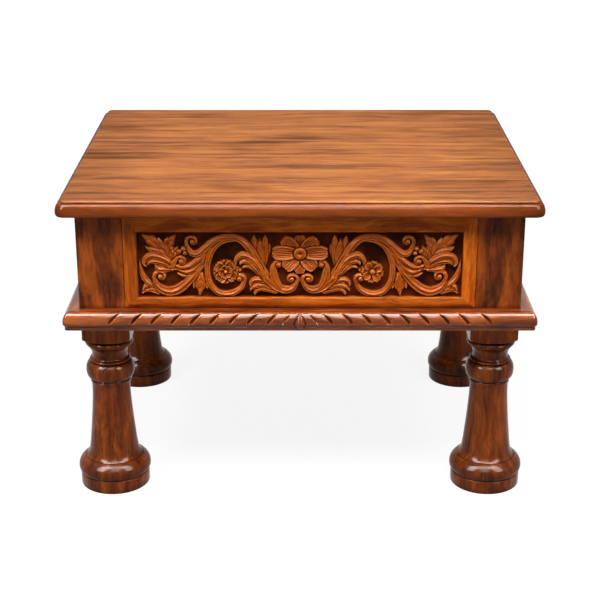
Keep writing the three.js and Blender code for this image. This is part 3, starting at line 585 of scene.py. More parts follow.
CORNERS = {"front_left": (-1, -1, 0), "front_right": (1, -1, 1),
           "back_right": (1, 1, 2), "back_left": (-1, 1, 3)}
for seed, (corner, (sign_x, sign_y, turns)) in enumerate(CORNERS.items()):
    post = extruded(POST_OUTLINE, POST_BOTTOM, POST_TOP)
    arrises = [edge for edge in post.edges if is_upright(edge)
               and all(min(abs(v.co.x), abs(v.co.y)) > (POST_HALF - 0.1) * MM
                       for v in edge.verts)]
    round_edges(post, arrises, POST_ARRIS)
    face_side(post, turns)
    bmesh.ops.translate(post, verts=post.verts, vec=(sign_x * (HALF_WIDTH - POST_CENTRE * MM),
                                                     sign_y * (HALF_DEPTH - POST_CENTRE * MM), 0))
    wood = varnished_wood(f"post_wood_{corner}", POST_TONES, "z", 51 + seed, mottle=1.1,
                          length=0.32)
    finish_piece(post, f"post_{corner}", wood, "dark_wood", f"corner_post_{corner}")


# Frames: two rails and two stiles round each carved panel, mitred at the corners. The stiles have
# tongues that slide into the posts, and all have a rebate behind for the panel.
FRAME_FACE = 22.0
FRAME_BOTTOM = 269.1
FRAME_TOP = 393.7
FRAME_DEPTH = 22.0
STILE_WIDTH = 17.0
TOP_RAIL_WIDTH = 25.0
BOTTOM_RAIL_WIDTH = 13.7
LIP_WIDTH = 6.0
LIP_THICKNESS = 8.5
TONGUE = (6.0, 10.0, 17.0)
MITRE_GAP = 0.12
INNER_ARRIS = 1.6
OUTER_ARRIS = 0.5
# The right stile is sawn from paler stuff, and the top rail is painted lighter: painted light
# against the shadow that the top casts on it
PALE_AND_LIT_BARS = ("frame_top_rail", "frame_stile_right")
FRAME_TONES = ((106, 42, 6), (152, 67, 9), (178, 84, 13), (202, 100, 19), (224, 120, 34))
PALE_AND_LIT_FRAME_TONES = ((156, 66, 9), (198, 91, 13), (222, 108, 18), (238, 124, 26), (250, 146, 44))


def frame_bar(width, length, ratios, tongue=False):
    """A bar on Z with mitred ends: x runs in from its outer edge, y back from its face."""
    rebate = width - LIP_WIDTH
    outline = [(0, 0), (width, 0), (width, LIP_THICKNESS), (rebate, LIP_THICKNESS),
               (rebate, FRAME_DEPTH), (0, FRAME_DEPTH)]
    if tongue:
        reach, near, far = TONGUE
        outline += [(0, far), (-reach, far), (-reach, near), (0, near)]
    bar = extruded(outline, -length / 2, length / 2)
    inner = [edge for edge in bar.edges if is_upright(edge)
             and all(v.co.y < 1e-6 and v.co.x > MM for v in edge.verts)]
    round_edges(bar, inner, INNER_ARRIS)
    outer = [edge for edge in bar.edges if is_upright(edge)
             and all(v.co.y < 1e-6 and v.co.x < 1e-6 for v in edge.verts)]
    round_edges(bar, outer, OUTER_ARRIS, 2)
    for vert in bar.verts:
        ratio = ratios[0] if vert.co.z < 0 else ratios[1]
        inwards = max(vert.co.x, 0)
        vert.co.z -= math.copysign(inwards * ratio, vert.co.z)
    return bar


for seed, (side, (turns, half_span, reach)) in enumerate(SIDES.items()):
    half_length = half_span / MM - 2 * POST_HALF - FRAME_FACE - 0.2
    middle = (FRAME_TOP + FRAME_BOTTOM) / 2
    high = FRAME_TOP - FRAME_BOTTOM - 2 * MITRE_GAP
    turn = Matrix.Rotation(turns * math.pi / 2, 4, "Z")
    for index, (part, width, inwards, x, z) in enumerate((
            ("frame_top_rail", TOP_RAIL_WIDTH, (0, 0, -1), 0, FRAME_TOP),
            ("frame_bottom_rail", BOTTOM_RAIL_WIDTH, (0, 0, 1), 0, FRAME_BOTTOM),
            ("frame_stile_left", STILE_WIDTH, (1, 0, 0), -half_length, middle),
            ("frame_stile_right", STILE_WIDTH, (-1, 0, 0), half_length, middle))):
        upright = part.startswith("frame_stile")
        if upright:
            length, along, others = high, (0, 0, 1), (BOTTOM_RAIL_WIDTH, TOP_RAIL_WIDTH)
        else:
            length, along, others = 2 * half_length, (1, 0, 0), (STILE_WIDTH, STILE_WIDTH)
        bar = frame_bar(width, length, [other / width for other in others], tongue=upright)
        axes = Matrix((inwards, (0, 1, 0), along)).transposed().to_4x4()
        place = Matrix.Translation((x * MM, FRAME_FACE * MM - reach, z * MM))
        bmesh.ops.transform(bar, verts=bar.verts, matrix=turn @ place @ axes)
        # Paler tones for the right stile, and painted light on the top rail
        tones = PALE_AND_LIT_FRAME_TONES if part in PALE_AND_LIT_BARS else FRAME_TONES
        wood = varnished_wood(f"frame_wood_{side}_{index}", tones,
                              "z" if upright else "xyxy"[turns], 172 + 5 * seed + index,
                              figure=0.1, mottle=0.7, length=0.14)
        finish_piece(bar, f"{part}_{side}_moulded", wood, "frame_wood", f"{part}_{side}")


# Carved panels: a board in the rebate of each frame, cut down to a dark ground round scrolls,
# leaves and flowers. The right half mirrors the left but for the small flower in its scroll.
OPENING_HEIGHT = 86.5
RELIEF = 7.5
PANEL_CELL = 0.65
PANEL_BORDER = 5.7
PANEL_BACK = 9.0
PANEL_GROUND = 30.8
PANEL_BOTTOM = 282.5
EYE_RADIUS = 3.1
RIDGE_HEIGHT = 0.75
# Courses run in thousandths of half the opening's width, from its middle, and of its height.
# Half widths and rise run along them. Flutes are gouged along a stem, and teeth cut in a leaf.
Stem = namedtuple("Stem", "course widths rise flutes depth fade teeth start_curl end_curl",
                  defaults=(None, 0, None, None))
STEM_WIDTH = 1.27
CURL_WIDTH = 0.62
STEMS = [
    # Low swellings from which the fans of fronds and the tulip rise
    Stem([(-183, 211), (-232, 352), (-281, 477), (-330, 578), (-367, 594)], [3, 5, 6, 4.5, 1.5],
         (0.66, 0.66), 1, 0.3),
    Stem([(-147, 102), (-196, 133), (-245, 180), (-281, 195), (-306, 164)], [2, 4, 5, 4, 1],
         (0.66, 0.66), 1, 0.3),
    Stem([(-752, 430), (-801, 492), (-856, 555), (-905, 586), (-936, 539)], [2, 4.5, 6, 5, 1.5],
         (0.66, 0.66), 1, 0.3),
    Stem([(-232, 383), (-235, 602), (-242, 700), (-245, 780)], [1.5, 4.5, 5.6, 4.6], (0.66, 0.7),
         1, 0.3),
] + [
    # Fingers of the tulip beside the rosette
    Stem([(-232, 386)] + course, [1.6, width, 0.95 * width, 0.6 * width, 0.2],
         (0.7, rise), 3, 0.7, 0.05)
    for course, width, rise in (
        ([(-264, 600), (-297, 738), (-309, 815)], 3.2, 0.76),
        ([(-213, 597), (-193, 733), (-186, 809)], 3.2, 0.78),
        ([(-254, 664), (-277, 841), (-284, 941)], 4.2, 0.84),
        ([(-224, 667), (-215, 846), (-212, 948)], 4.2, 0.86),
        ([(-239, 634), (-246, 793), (-248, 883)], 3.2, 0.9))
] + [
    # Toothed leaves that spread into the upper corner
    Stem([(-790, 494), (-814, 664), (-808, 802), (-758, 954)], [3, 6.4, 7, 5.2, 0.2], (0.75, 0.85),
         2, 1.2, 0.05, 4),
    Stem([(-790, 494), (-777, 633), (-749, 772)], [3, 4.4, 4, 0.2], (0.7, 0.8), 2, 0.9, 0.05, 3),
    Stem([(-790, 494), (-854, 725), (-900, 841), (-966, 960)], [3, 7, 7.4, 5.6, 0.2], (0.8, 0.95),
         2, 1.2, 0.05, 5),
    Stem([(-790, 478), (-857, 640), (-900, 701), (-947, 769)], [2.6, 5.6, 5.2, 3.2, 0.2],
         (0.85, 0.9), 2, 1.2, 0.05, 4),
    # Toothed leaf that hangs from the fork of the scrolls
    Stem([(-609, 370), (-634, 247), (-660, 130)], [1.6, 4, 4, 0.2], (0.7, 0.75), 2, 0.9, 0.05, 2),
    Stem([(-609, 370), (-589, 247), (-569, 123)], [1.6, 4, 4, 0.2], (0.7, 0.75), 2, 0.9, 0.05, 2),
    Stem([(-609, 386), (-614, 216), (-620, 19)], [1.6, 4.6, 4.8, 0.2], (0.8, 0.85), 2, 1.1, 0.05,
         3),
    # Two fronds in the lower corner, and the blade along the outer edge
    Stem([(-857, 52), (-900, 99), (-936, 114), (-964, 93), (-976, 52)], [2.6, 3.0, 2.8, 2.1, 0.7],
         (0.7, 0.75), 2, 1.1, 0.1),
    Stem([(-869, 93), (-912, 157), (-937, 182), (-960, 154), (-972, 100)],
         [2.1, 2.8, 2.7, 2.0, 0.7], (0.8, 0.8), 2, 1.1, 0.1),
    Stem([(-987, 563), (-981, 420), (-963, 296), (-932, 210), (-900, 170)], [0.4, 2, 3, 2.8, 1.5],
         (0.6, 0.85), 2, 1),
    # Fan of fronds under the main scroll
    Stem([(-128, 68), (-164, 77), (-199, 108), (-234, 125), (-262, 105), (-277, 62), (-280, 25)],
         [1.4, 2.3, 2.8, 2.8, 2.3, 1.6, 0.5], (0.7, 0.75), 2, 1.1, 0.1),
    Stem([(-158, 117), (-199, 164), (-234, 185), (-269, 176), (-297, 136), (-307, 93)],
         [1.4, 2.3, 2.8, 2.8, 2.1, 0.5], (0.8, 0.82), 2, 1.1, 0.1),
    Stem([(-174, 162), (-205, 219), (-227, 250), (-259, 269), (-288, 256), (-305, 207),
         (-305, 164)], [1.4, 2.1, 2.6, 2.7, 2.3, 1.7, 0.5], (0.86, 0.86), 2, 1.1, 0.1),
    # Outer scroll, with the ribs over it
    Stem([(-752, 364), (-724, 330), (-693, 321), (-664, 364), (-636, 441), (-612, 540)],
         [0.8, 1.9, 2.4, 2.3, 1.9, 1], (0.78, 0.85), 2, 1),
    Stem([(-899, 272), (-883, 179), (-845, 105), (-795, 83), (-742, 133), (-689, 241), (-651, 346),
         (-617, 457), (-584, 586), (-551, 718)], [2, 3.2, 4.2, 4.6, 4.6, 4.2, 3.6, 3.2, 3, 2.2],
         (0.9, 0.95), 2, 1.4, start_curl=((-861, 310), -0.95)),
    Stem([(-752, 438), (-724, 398), (-689, 383), (-655, 423), (-618, 512), (-584, 611),
         (-544, 733)], [0.8, 2, 2.4, 2.4, 2.3, 2.1, 1.6], (0.85, 0.95), 2, 1.1),
    Stem([(-768, 485), (-741, 466), (-710, 463), (-675, 485), (-636, 556), (-590, 660),
         (-548, 753), (-508, 833)], [1.2, 2.2, 2.5, 2.5, 2.5, 2.4, 2.2, 1.6], (0.9, 1), 2, 1.2),
    # Scroll round the small flower
    Stem([(-348, 872), (-397, 877), (-452, 870), (-505, 806), (-541, 694), (-564, 548),
         (-571, 403), (-563, 265), (-542, 151), (-505, 66), (-452, 40), (-400, 74), (-362, 145),
         (-346, 238)], [1.6, 2.6, 3, 3, 2.9, 2.8, 2.7, 2.7, 2.8, 3, 3.2, 3, 2.6, 2.2],
         (0.85, 0.95), 2, 1.3, end_curl=((-373, 278), 0.85)),
    # Main scroll, from its upper curl to the one under the rosette
    Stem([(-694, 809), (-683, 716), (-655, 660), (-622, 673), (-584, 747), (-544, 830),
         (-498, 895), (-443, 920), (-388, 904), (-342, 833), (-305, 725), (-275, 586), (-244, 444),
         (-207, 312), (-167, 207), (-121, 130), (-75, 108), (-39, 151), (-17, 238)], [1.8, 2.6,
         3.1, 3.2, 3.2, 3.2, 3.2, 3.3, 3.5, 3.7, 3.9, 4.2, 4.4, 4.6, 4.4, 4, 3.6, 3, 2.2],
         (0.95, 1), 2, 1.3, start_curl=((-659, 846), -0.95), end_curl=((-50, 272), 0.9)),
    # Side form that curls in towards the rosette
    Stem([(-104, 100), (-138, 190), (-158, 310), (-164, 440), (-150, 528)],
         [1.8, 3.6, 4.0, 3.2, 2.1], (0.86, 0.98), 2, 1.2, 0.05, end_curl=((-133, 490), -0.78)),
    # Fan of fronds over the small flower
    Stem([(-210, 270), (-248, 358), (-272, 423), (-304, 469), (-332, 472), (-354, 448)],
         [1.4, 2.3, 2.6, 2.6, 2.1, 0.5], (0.85, 0.85), 2, 1.1, 0.1),
    Stem([(-219, 306), (-251, 403), (-276, 481), (-304, 534), (-336, 546), (-361, 531),
         (-368, 494)], [1.4, 2.3, 2.8, 2.9, 2.8, 2.1, 0.6], (0.92, 0.92), 2, 1.2, 0.1),
    Stem([(-226, 363), (-255, 478), (-283, 568), (-318, 623), (-354, 645), (-381, 603),
         (-395, 543), (-394, 494)], [1.4, 2.6, 3.0, 3.2, 3.1, 2.7, 2.0, 0.6], (0.98, 0.96), 2, 1.2,
         0.1),
    # Fan of fronds in the outer corner, and a curl at its root
    Stem([(-771, 414), (-808, 426), (-845, 423), (-876, 441), (-890, 494)],
         [1.4, 2.8, 3.5, 3.0, 0.7], (0.82, 0.85), 2, 1.2, 0.1),
    Stem([(-777, 454), (-820, 503), (-860, 540), (-900, 549), (-927, 528), (-936, 491)],
         [1.4, 2.8, 3.1, 3.0, 2.2, 0.6], (0.9, 0.92), 2, 1.2, 0.1),
    Stem([(-777, 472), (-814, 562), (-854, 614), (-894, 639), (-929, 623), (-953, 571),
         (-959, 509), (-947, 472)], [1.4, 2.6, 3.1, 3.2, 3.0, 2.6, 1.9, 0.6], (0.98, 0.95), 2, 1.2,
         0.1),
    Stem([(-787, 440), (-777, 517), (-758, 580)], [2.2, 2.2, 1.8], (0.9, 0.95), 1, 0.8, 0.05,
         end_curl=((-731, 543), -0.85)),
]
# Place, radius and rise
BUDS = [((-742, 691), 3.0, 0.8), ((-714, 731), 3.0, 0.8), ((-706, 665), 2.8, 0.75),
        ((-373, 407), 2.5, 0.7), ((-387, 441), 2.0, 0.6)]
# Each petal's heading in degrees, reach, half width, rise and frill. The two small flowers
# differ: a frilled one on the left and a plain one on the right.
FRILLED_PLACE, FRILLED_BOSS = (-458, 384), 2.4
FRILLED_PETALS = [(98 + 45 * turn, 16.6, 6.8, 0.8 + 0.06 * (turn % 2), 0.15)
                  for turn in (0, 2, 4, 6, 1, 3, 5, 7)]
FRILLED_PETALS += [(110 + 72 * turn, 9.6, 4.6, 0.97, 0.16) for turn in range(5)]
PLAIN_PLACE, PLAIN_BOSS = (447, 380), 3.4
PLAIN_PETALS = [(80 + 45 * turn, 14.6, 4.9, 0.86 + 0.05 * (turn % 2), 0.05)
                for turn in (0, 2, 4, 6, 1, 3, 5, 7)]
ROSETTE_PLACE, ROSETTE_BOSS = (0, 657), 7.9
ROSETTE_EYE, ROSETTE_EYE_DEPTH = 2.3, 3.6
ROSETTE_RING, ROSETTE_RING_DEPTH = 8.6, 1.6
ROSETTE_PETALS = [(270, 27.5, 7.2, 0.86, 0.07), (226, 28.8, 9.0, 0.88, 0.08),
                  (314, 28.8, 9.0, 0.88, 0.08), (90, 26.0, 7.8, 0.86, 0.06),
                  (137, 30.4, 9.0, 0.92, 0.08), (43, 30.4, 9.0, 0.92, 0.08),
                  (177, 36.6, 9.2, 0.98, 0.09), (3, 36.6, 9.2, 0.98, 0.09)]
PETAL_FOOT = 0.38
PETAL_WIDEST = 0.62


def place_of(spot, half_width):
    return np.array([spot[0] / 1000 * half_width, spot[1] / 1000 * OPENING_HEIGHT])


def curl_course(start, centre, turns, end=0.3, steps=22):
    """A curl that winds in from a point round its centre."""
    course = []
    for share in np.arange(1, steps + 1) / steps:
        angle = share * turns * 2 * math.pi
        spoke = (start - centre) * (1 + (end - 1) * share)
        course.append(centre + (spoke[0] * math.cos(angle) - spoke[1] * math.sin(angle),
                                spoke[0] * math.sin(angle) + spoke[1] * math.cos(angle)))
    return np.array(course)


def nearest_on(course, x, z):
    """Distance from a course, the side of it, and how far along it, for each place."""
    gaps = np.diff(course, axis=0)
    lengths = np.hypot(*gaps.T) + 1e-9
    starts = np.concatenate([[0], np.cumsum(lengths)])
    distance, side, along = np.full(x.shape, 1e9), np.zeros(x.shape), np.zeros(x.shape)
    for (start_x, start_z), (gap_x, gap_z), length, start in zip(course, gaps, lengths, starts):
        off_x, off_z = x - start_x, z - start_z
        share = np.clip((off_x * gap_x + off_z * gap_z) / length ** 2, 0, 1)
        here = np.hypot(off_x - share * gap_x, off_z - share * gap_z)
        closer = here < distance
        distance = np.where(closer, here, distance)
        side = np.where(closer, np.sign(gap_x * off_z - gap_z * off_x), side)
        along = np.where(closer, (start + share * length) / starts[-1], along)
    return distance, side, along


def carve_over(ground, inside, lift, fade=1.0):
    """Cuts round a form and lays it over what lies under it."""
    under = np.maximum(ground - 1.5 * fade * bell(inside + 0.9, 0.8), 0)
    cover = ease(-0.55, 0.45, inside) * fade
    ground[:] = under * (1 - cover) + lift * cover


def carve_stem(stem, half_width, x, z, ground):
    course = smooth_run([place_of(spot, half_width) for spot in stem.course], 8)
    widths = np.interp(np.linspace(0, 1, len(course)), np.linspace(0, 1, len(stem.widths)),
                       np.array(stem.widths) * STEM_WIDTH)
    eyes = []
    for curl in (stem.start_curl, stem.end_curl):
        course, widths = course[::-1], widths[::-1]
        if curl:
            centre, turns = curl
            eyes.append(place_of(centre, half_width))
            wound = curl_course(course[-1], eyes[-1], turns)
            course = np.vstack([course, wound])
            widths = np.append(widths, np.linspace(widths[-1], widths[-1] * CURL_WIDTH,
                                                   len(wound)))
    margin = widths.max() + 3
    low, high = course.min(axis=0) - margin, course.max(axis=0) + margin
    columns = np.nonzero((x[0] > low[0]) & (x[0] < high[0]))[0]
    levels = np.nonzero((z[:, 0] > low[1]) & (z[:, 0] < high[1]))[0]
    part = np.s_[levels[0]:levels[-1] + 1, columns[0]:columns[-1] + 1]
    distance, side, along = nearest_on(course, x[part], z[part])
    lengths = np.hypot(*np.diff(course, axis=0).T)
    reach = np.concatenate([[0], np.cumsum(lengths)]) / lengths.sum()
    width = np.interp(along, reach, widths)
    tooth = np.mod(stem.teeth * (along - 0.45 * distance / lengths.sum()), 1)
    if stem.teeth:
        width = width * (0.82 + 0.3 * tooth)
    aside = np.clip(side * distance / np.maximum(width, 0.3), -1, 1)
    rise = stem.rise[0] + (stem.rise[1] - stem.rise[0]) * along
    flute = np.abs(np.sin(stem.flutes * math.pi * (aside + 1) / 2))
    lift = rise * RELIEF * (1 - 0.2 * aside ** 2)
    if stem.teeth:
        lift -= stem.depth * np.minimum(width / 3, 1) * (1 - flute)
        lift -= 0.5 * bell(np.minimum(tooth, 1 - tooth), 0.1) * (width > 1.5)
    else:
        lift -= 1.35 * stem.depth * np.minimum(width / 3, 1) * flute
    fade = ease(0, stem.fade, along) if stem.fade else 1.0
    carve_over(ground[part], width - distance, lift, fade)
    for eye in eyes:
        carve_bud(eye, EYE_RADIUS, 1.0, x, z, ground)


def carve_bud(centre, radius, rise, x, z, ground):
    distance = np.hypot(x - centre[0], z - centre[1])
    near = distance < radius + 4
    patch = ground[near]
    lift = RELIEF * rise * (0.66 + 0.34 * dome(distance[near] / radius))
    carve_over(patch, radius - distance[near], lift)
    ground[near] = patch


def carve_petal(centre, petal, x, z, ground):
    turn, reach, half_width, rise, frill = petal
    heading = (math.cos(math.radians(turn)), math.sin(math.radians(turn)))
    off_x, off_z = x - centre[0], z - centre[1]
    along = (off_x * heading[0] + off_z * heading[1]) / reach
    aside = off_z * heading[0] - off_x * heading[1]
    share = np.clip(along, 0, 1)
    inner = PETAL_FOOT + (1 - PETAL_FOOT) * np.sin(share / PETAL_WIDEST * math.pi / 2)
    outer = dome((share - PETAL_WIDEST) / (1 - PETAL_WIDEST))
    width = half_width * np.where(share < PETAL_WIDEST, inner, outer)
    tip = 1 - frill * (1 - np.abs(np.cos(aside / half_width * math.pi * 1.5)))
    tip -= 0.05 * bell(aside, 1.6)
    inside = np.minimum(width - np.abs(aside), (tip - along) * reach)
    inside = np.where(along < 0, -9, inside)
    across = np.clip(aside / np.maximum(width, 0.3), -1, 1)
    lift = RELIEF * rise * (0.78 + 0.22 * ease(0.15, 0.8, share)) * (1 - 0.04 * across ** 2)
    lift -= 1.9 * (1 - np.abs(across) ** 1.3) * ease(0, 0.3, share) * (1 - 0.8 * share ** 3)
    lift -= 1.8 * bell(across, 0.09) * (1 - share ** 3)
    veined = min(1, (half_width / 8) ** 2) * ease(0.2, 0.4, share) * (1 - share ** 4)
    lift -= 1.7 * veined * bell(np.abs(across) - 0.4 * (0.6 + 0.4 * share), 0.08)
    lift -= 1.1 * veined * bell(np.abs(across) - 0.7 * (0.7 + 0.3 * share), 0.08)
    lift += 0.5 * bell(np.abs(across) - 0.92, 0.1) * ease(0.1, 0.4, share)
    lift -= 0.7 * ease(0.85, 1.02, share)
    carve_over(ground, inside, lift)


def carving(half_width, x, z):
    """Lift of the carving off its ground, in mm, over a grid of places. Stems and buds mirror."""
    ground = np.zeros(x.shape)
    for stem in STEMS:
        carve_stem(stem, half_width, -np.abs(x), z, ground)
    for spot, radius, rise in BUDS:
        carve_bud(place_of(spot, half_width), radius, rise, -np.abs(x), z, ground)
    for spot, petals, boss in ((FRILLED_PLACE, FRILLED_PETALS, FRILLED_BOSS),
                               (PLAIN_PLACE, PLAIN_PETALS, PLAIN_BOSS),
                               (ROSETTE_PLACE, ROSETTE_PETALS, ROSETTE_BOSS)):
        centre = place_of(spot, half_width)
        for petal in petals:
            carve_petal(centre, petal, x, z, ground)
        carve_bud(centre, boss, 1.0, x, z, ground)
    distance = np.hypot(x - centre[0], z - centre[1])
    ground -= ROSETTE_EYE_DEPTH * bell(distance, ROSETTE_EYE)
    ground -= ROSETTE_RING_DEPTH * bell(distance - ROSETTE_RING, 0.9)
    return ground


def softened(field, reach):
    """The field averaged over a square of places, for telling ridges from hollows."""
    span = range(-reach, reach + 1)
    return sum(np.roll(field, (row, column), (0, 1)) for row in span for column in span) \
        / len(span) ** 2


CARVED_TONES = ((150, 60, 8), (178, 78, 12), (186, 86, 17), (198, 96, 21), (214, 111, 32))

for seed, (side, (turns, half_span, reach)) in enumerate(SIDES.items()):
    half_width = half_span / MM - 2 * POST_HALF - FRAME_FACE - STILE_WIDTH
    half_x, half_z = half_width + PANEL_BORDER, OPENING_HEIGHT / 2 + PANEL_BORDER
    columns = 2 * round(half_x / PANEL_CELL) + 1
    levels = 2 * round(half_z / PANEL_CELL) + 1
    x, z = np.meshgrid(np.linspace(-half_x, half_x, columns),
                       np.linspace(-half_z, half_z, levels) + OPENING_HEIGHT / 2)
    edge = np.minimum(half_width - np.abs(x), np.minimum(z, OPENING_HEIGHT - z))
    lift = np.clip(carving(half_width, x, z), 0, RELIEF) * ease(0.6, 1.5, edge)
    panel = bmesh.new()
    bmesh.ops.create_grid(panel, x_segments=columns - 1, y_segments=levels - 1, size=1)
    spots = np.array([vert.co for vert in panel.verts])
    column = np.round((spots[:, 0] + 1) / 2 * (columns - 1)).astype(int)
    level = np.round((spots[:, 1] + 1) / 2 * (levels - 1)).astype(int)
    front = PANEL_GROUND * MM - reach
    # Height, ridges and hollows of the carving: carved_wood paints shade on the ground and in the
    # hollows, and wear with a painted highlight on the ridges
    sharpness = np.clip((lift - softened(lift, 2)) / RIDGE_HEIGHT, -1, 1)
    shaded = panel.verts.layers.float.new("carving")
    ridged = panel.verts.layers.float.new("ridge")
    for vert, x_mm, z_mm, height, ridge in zip(
            panel.verts, *(field[level, column] for field in (x, z, lift, sharpness))):
        vert.co = (x_mm * MM, front - height * MM, (PANEL_BOTTOM + z_mm) * MM)
        vert[shaded], vert[ridged] = height / RELIEF, ridge
    rim = [edge for edge in panel.edges if edge.is_boundary]
    for vert in verts_of(bmesh.ops.extrude_edge_only(panel, edges=rim)["geom"]):
        vert.co.y = front + PANEL_BACK * MM
    bmesh.ops.holes_fill(panel, edges=panel.edges, sides=0)
    face_side(panel, turns)
    wood = varnished_wood(f"carved_wood_{side}", CARVED_TONES, "xyxy"[turns], 91 + seed,
                          figure=0.1, coat=0.32, worked=carved_wood)
    finish_piece(panel, f"carving_{side}", wood, "carved_wood", f"carved_panel_{side}", sharp=42)


# Cleats, screws and dowels: plain strips of wood inside the frames, through which screws hold the
# top down, and the dowels between the posts and the base. Bare wood and zinc, out of sight.
def plain_wood(name, seed):
    finish, tree, shader = new_finish(name)
    place = object_place(tree)
    grain = node(tree, "Mapping", {"Vector": place, "Location": (seed, seed * 0.7, 0),
                                   "Scale": (9, 9, 110)}).outputs[0]
    fibres = node(tree, "TexNoise", {"Vector": grain, "Scale": 1.0, "Detail": 5.0}).outputs["Fac"]
    ramp = node(tree, "ValToRGB", {"Fac": fibres})
    ramp.color_ramp.elements[0].position = 0.3
    ramp.color_ramp.elements[0].color = srgb(150, 108, 66)
    ramp.color_ramp.elements[1].position = 0.7
    ramp.color_ramp.elements[1].color = srgb(198, 156, 106)
    bump = node(tree, "Bump", {"Strength": 0.4, "Distance": 0.0003, "Height": fibres})
    feed(tree, shader, {"Base Color": ramp.outputs[0], "Roughness": 0.75,
                        "Normal": bump.outputs[0]})
    return finish


def zinc(name):
    finish, tree, shader = new_finish(name)
    grit = node(tree, "TexNoise", {"Vector": object_place(tree), "Scale": 900.0,
                                   "Detail": 3.0}).outputs["Fac"]
    colour = blend(tree, "MIX", spread(tree, grit, 0.35, 0.65, 0.0, 1.0), srgb(150, 150, 148),
                   srgb(186, 188, 188))
    feed(tree, shader, {"Base Color": colour, "Metallic": 1.0,
                        "Roughness": spread(tree, grit, 0.3, 0.7, 0.3, 0.5)})
    return finish


bare_wood, screw_zinc = plain_wood("bare_wood", 3.0), zinc("screw_zinc")
for name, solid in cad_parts.items():
    if name.startswith(("top_cleat", "post_dowel")):
        solid.material_slots[0].material = bare_wood
    if name.startswith("cleat_screw"):
        solid.material_slots[0].material = screw_zinc


# Top: five boards of lighter sheesham glued edge to edge and planed flat. A moulding is run round
# them: a half-round nose, a quirk above it and a small round up to the surface.
TOP_LEVEL = 394.0
TOP_CORNER = 14.0
BOARD_COUNT = 5
BOARD_GAP = 0.06
TOP_NOSE_REACH = 6.0
TOP_NOSE_BELLY = 4.6
TOP_NOSE_RISE = 11.6
TOP_UNDERCUT = 1.6
TOP_ROUND = 3.8
top_edge = [(2.4, 0.0)]
for turn in np.radians(np.linspace(-75, 0, 6)[:-1]):
    top_edge.append((TOP_UNDERCUT * (1 - math.cos(turn)), TOP_NOSE_BELLY * (1 + math.sin(turn))))
for turn in np.radians(np.linspace(0, 84, 13)):
    top_edge.append((TOP_NOSE_REACH * (1 - math.cos(turn)),
                     TOP_NOSE_BELLY + TOP_NOSE_RISE * math.sin(turn)))
top_edge += [(6.7, 16.0), (7.7, 16.2), (7.8, 16.8), (7.1, 17.0)]
for turn in np.radians(np.linspace(13, 90, 8)):
    top_edge.append((7.0 + TOP_ROUND * (1 - math.cos(turn)), 16.2 + TOP_ROUND * math.sin(turn)))
TOP_TONE_PLACES = (0.26, 0.40, 0.50, 0.60, 0.74)
TOP_TONES = ((120, 76, 54), (158, 97, 61), (176, 109, 65), (191, 121, 68), (210, 139, 76))
END_SHADE = (0.66, 0.66, 0.66, 1)
SMUDGE = (0.42, 0.4, 0.4, 1)
EDGE_STAIN = (0.62, 0.36, 0.13, 1)
# Levels, and distances from the middle, in metres, between which the varnish changes
TOP_EDGE, TOP_FLAT = (0.4095, 0.4135), (0.4125, 0.4139)
TOP_ENDS, TOP_RIM = (0.19, 0.3), (0.288, 0.295)


def rubbed_wood(tree, wood):
    """Darker to both ends and at the moulded edge, smudged, and the flat rubbed nearly dull."""
    apart = node(tree, "SeparateXYZ", {"Vector": wood.place}).outputs
    level, aside = apart["Z"], maths(tree, "ABSOLUTE", apart["X"])
    smudges = spread(tree, wood.drawn(0.3, 15.0, 2.0), 0.56, 0.74, 0.0, 0.7)
    for share, shade in ((spread(tree, aside, *TOP_ENDS, 0.0, 0.75), END_SHADE),
                         (smudges, SMUDGE),
                         (spread(tree, level, *TOP_EDGE, 1.0, 0.0), EDGE_STAIN)):
        wood.colour = blend(tree, "MULTIPLY", share, wood.colour, shade)
    wood.coat = maths(tree, "MULTIPLY", spread(tree, level, *TOP_FLAT, wood.coat, 0.05),
                      spread(tree, aside, *TOP_RIM, 1.0, 0.3))


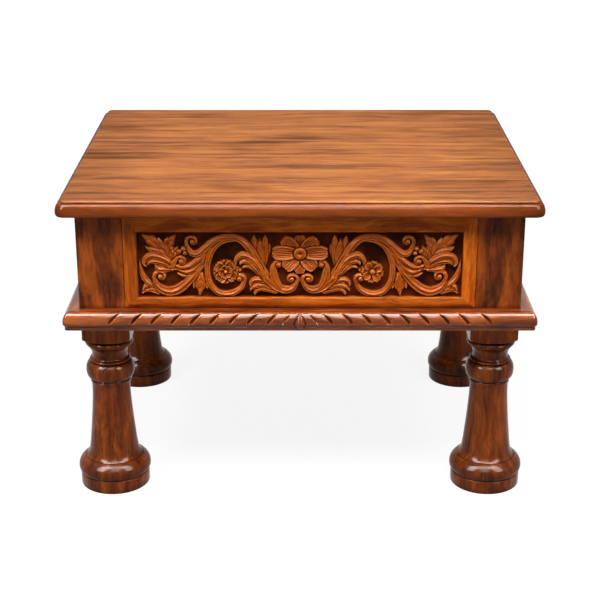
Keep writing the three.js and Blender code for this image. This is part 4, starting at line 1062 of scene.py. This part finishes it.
slab = bmesh.new()
corner_x, corner_y = cad_box[1][0] - TOP_CORNER * MM, cad_box[1][1] - TOP_CORNER * MM
outline = [slab.verts.new((corner_x + (TOP_CORNER - inset) * MM, corner_y,
                           (TOP_LEVEL + level) * MM)) for inset, level in top_edge]
edges = [slab.edges.new(pair) for pair in zip(outline, outline[1:])]
last = bmesh.ops.spin(slab, geom=outline + edges, cent=(corner_x, corner_y, 0), axis=(0, 0, 1),
                      angle=math.pi / 2, steps=10)["geom_last"]
last = [item for item in last if isinstance(item, bmesh.types.BMEdge)]
for chain, axis in ((edges, 1), (last, 0)):
    for vert in verts_of(bmesh.ops.extrude_edge_only(slab, edges=chain)["geom"]):
        vert.co[axis] = 0.0
for axis in "XY":
    bmesh.ops.mirror(slab, geom=slab.verts[:] + slab.edges[:] + slab.faces[:],
                     matrix=Matrix.Identity(4), merge_dist=1e-6, axis=axis)
bmesh.ops.remove_doubles(slab, verts=slab.verts, dist=1e-6)
bmesh.ops.holes_fill(slab, edges=slab.edges, sides=0)

for index in range(BOARD_COUNT):
    board = slab.copy()
    width = 2 * HALF_DEPTH / BOARD_COUNT
    front, back = index * width - HALF_DEPTH, (index + 1) * width - HALF_DEPTH
    for joined, place, cleared in (
            (index > 0, front + BOARD_GAP * MM / 2, "clear_inner"),
            (index < BOARD_COUNT - 1, back - BOARD_GAP * MM / 2, "clear_outer")):
        if joined:
            bmesh.ops.bisect_plane(board, geom=board.verts[:] + board.edges[:] + board.faces[:],
                                   dist=1e-7, plane_co=(0, place, 0), plane_no=(0, 1, 0),
                                   **{cleared: True})
    bmesh.ops.holes_fill(board, edges=board.edges, sides=0)
    wood = varnished_wood(f"top_wood_{index + 1}", TOP_TONES, "x", 17 + index,
                          places=TOP_TONE_PLACES, figure=0.12, mottle=0.75, length=0.08,
                          size=1.25, reach=0.005, coat=0.7, shine=0.0,
                          worked=rubbed_wood)
    finish_piece(board, f"moulded_board_{index + 1}", wood, "top_wood", f"top_board_{index + 1}")
slab.free()
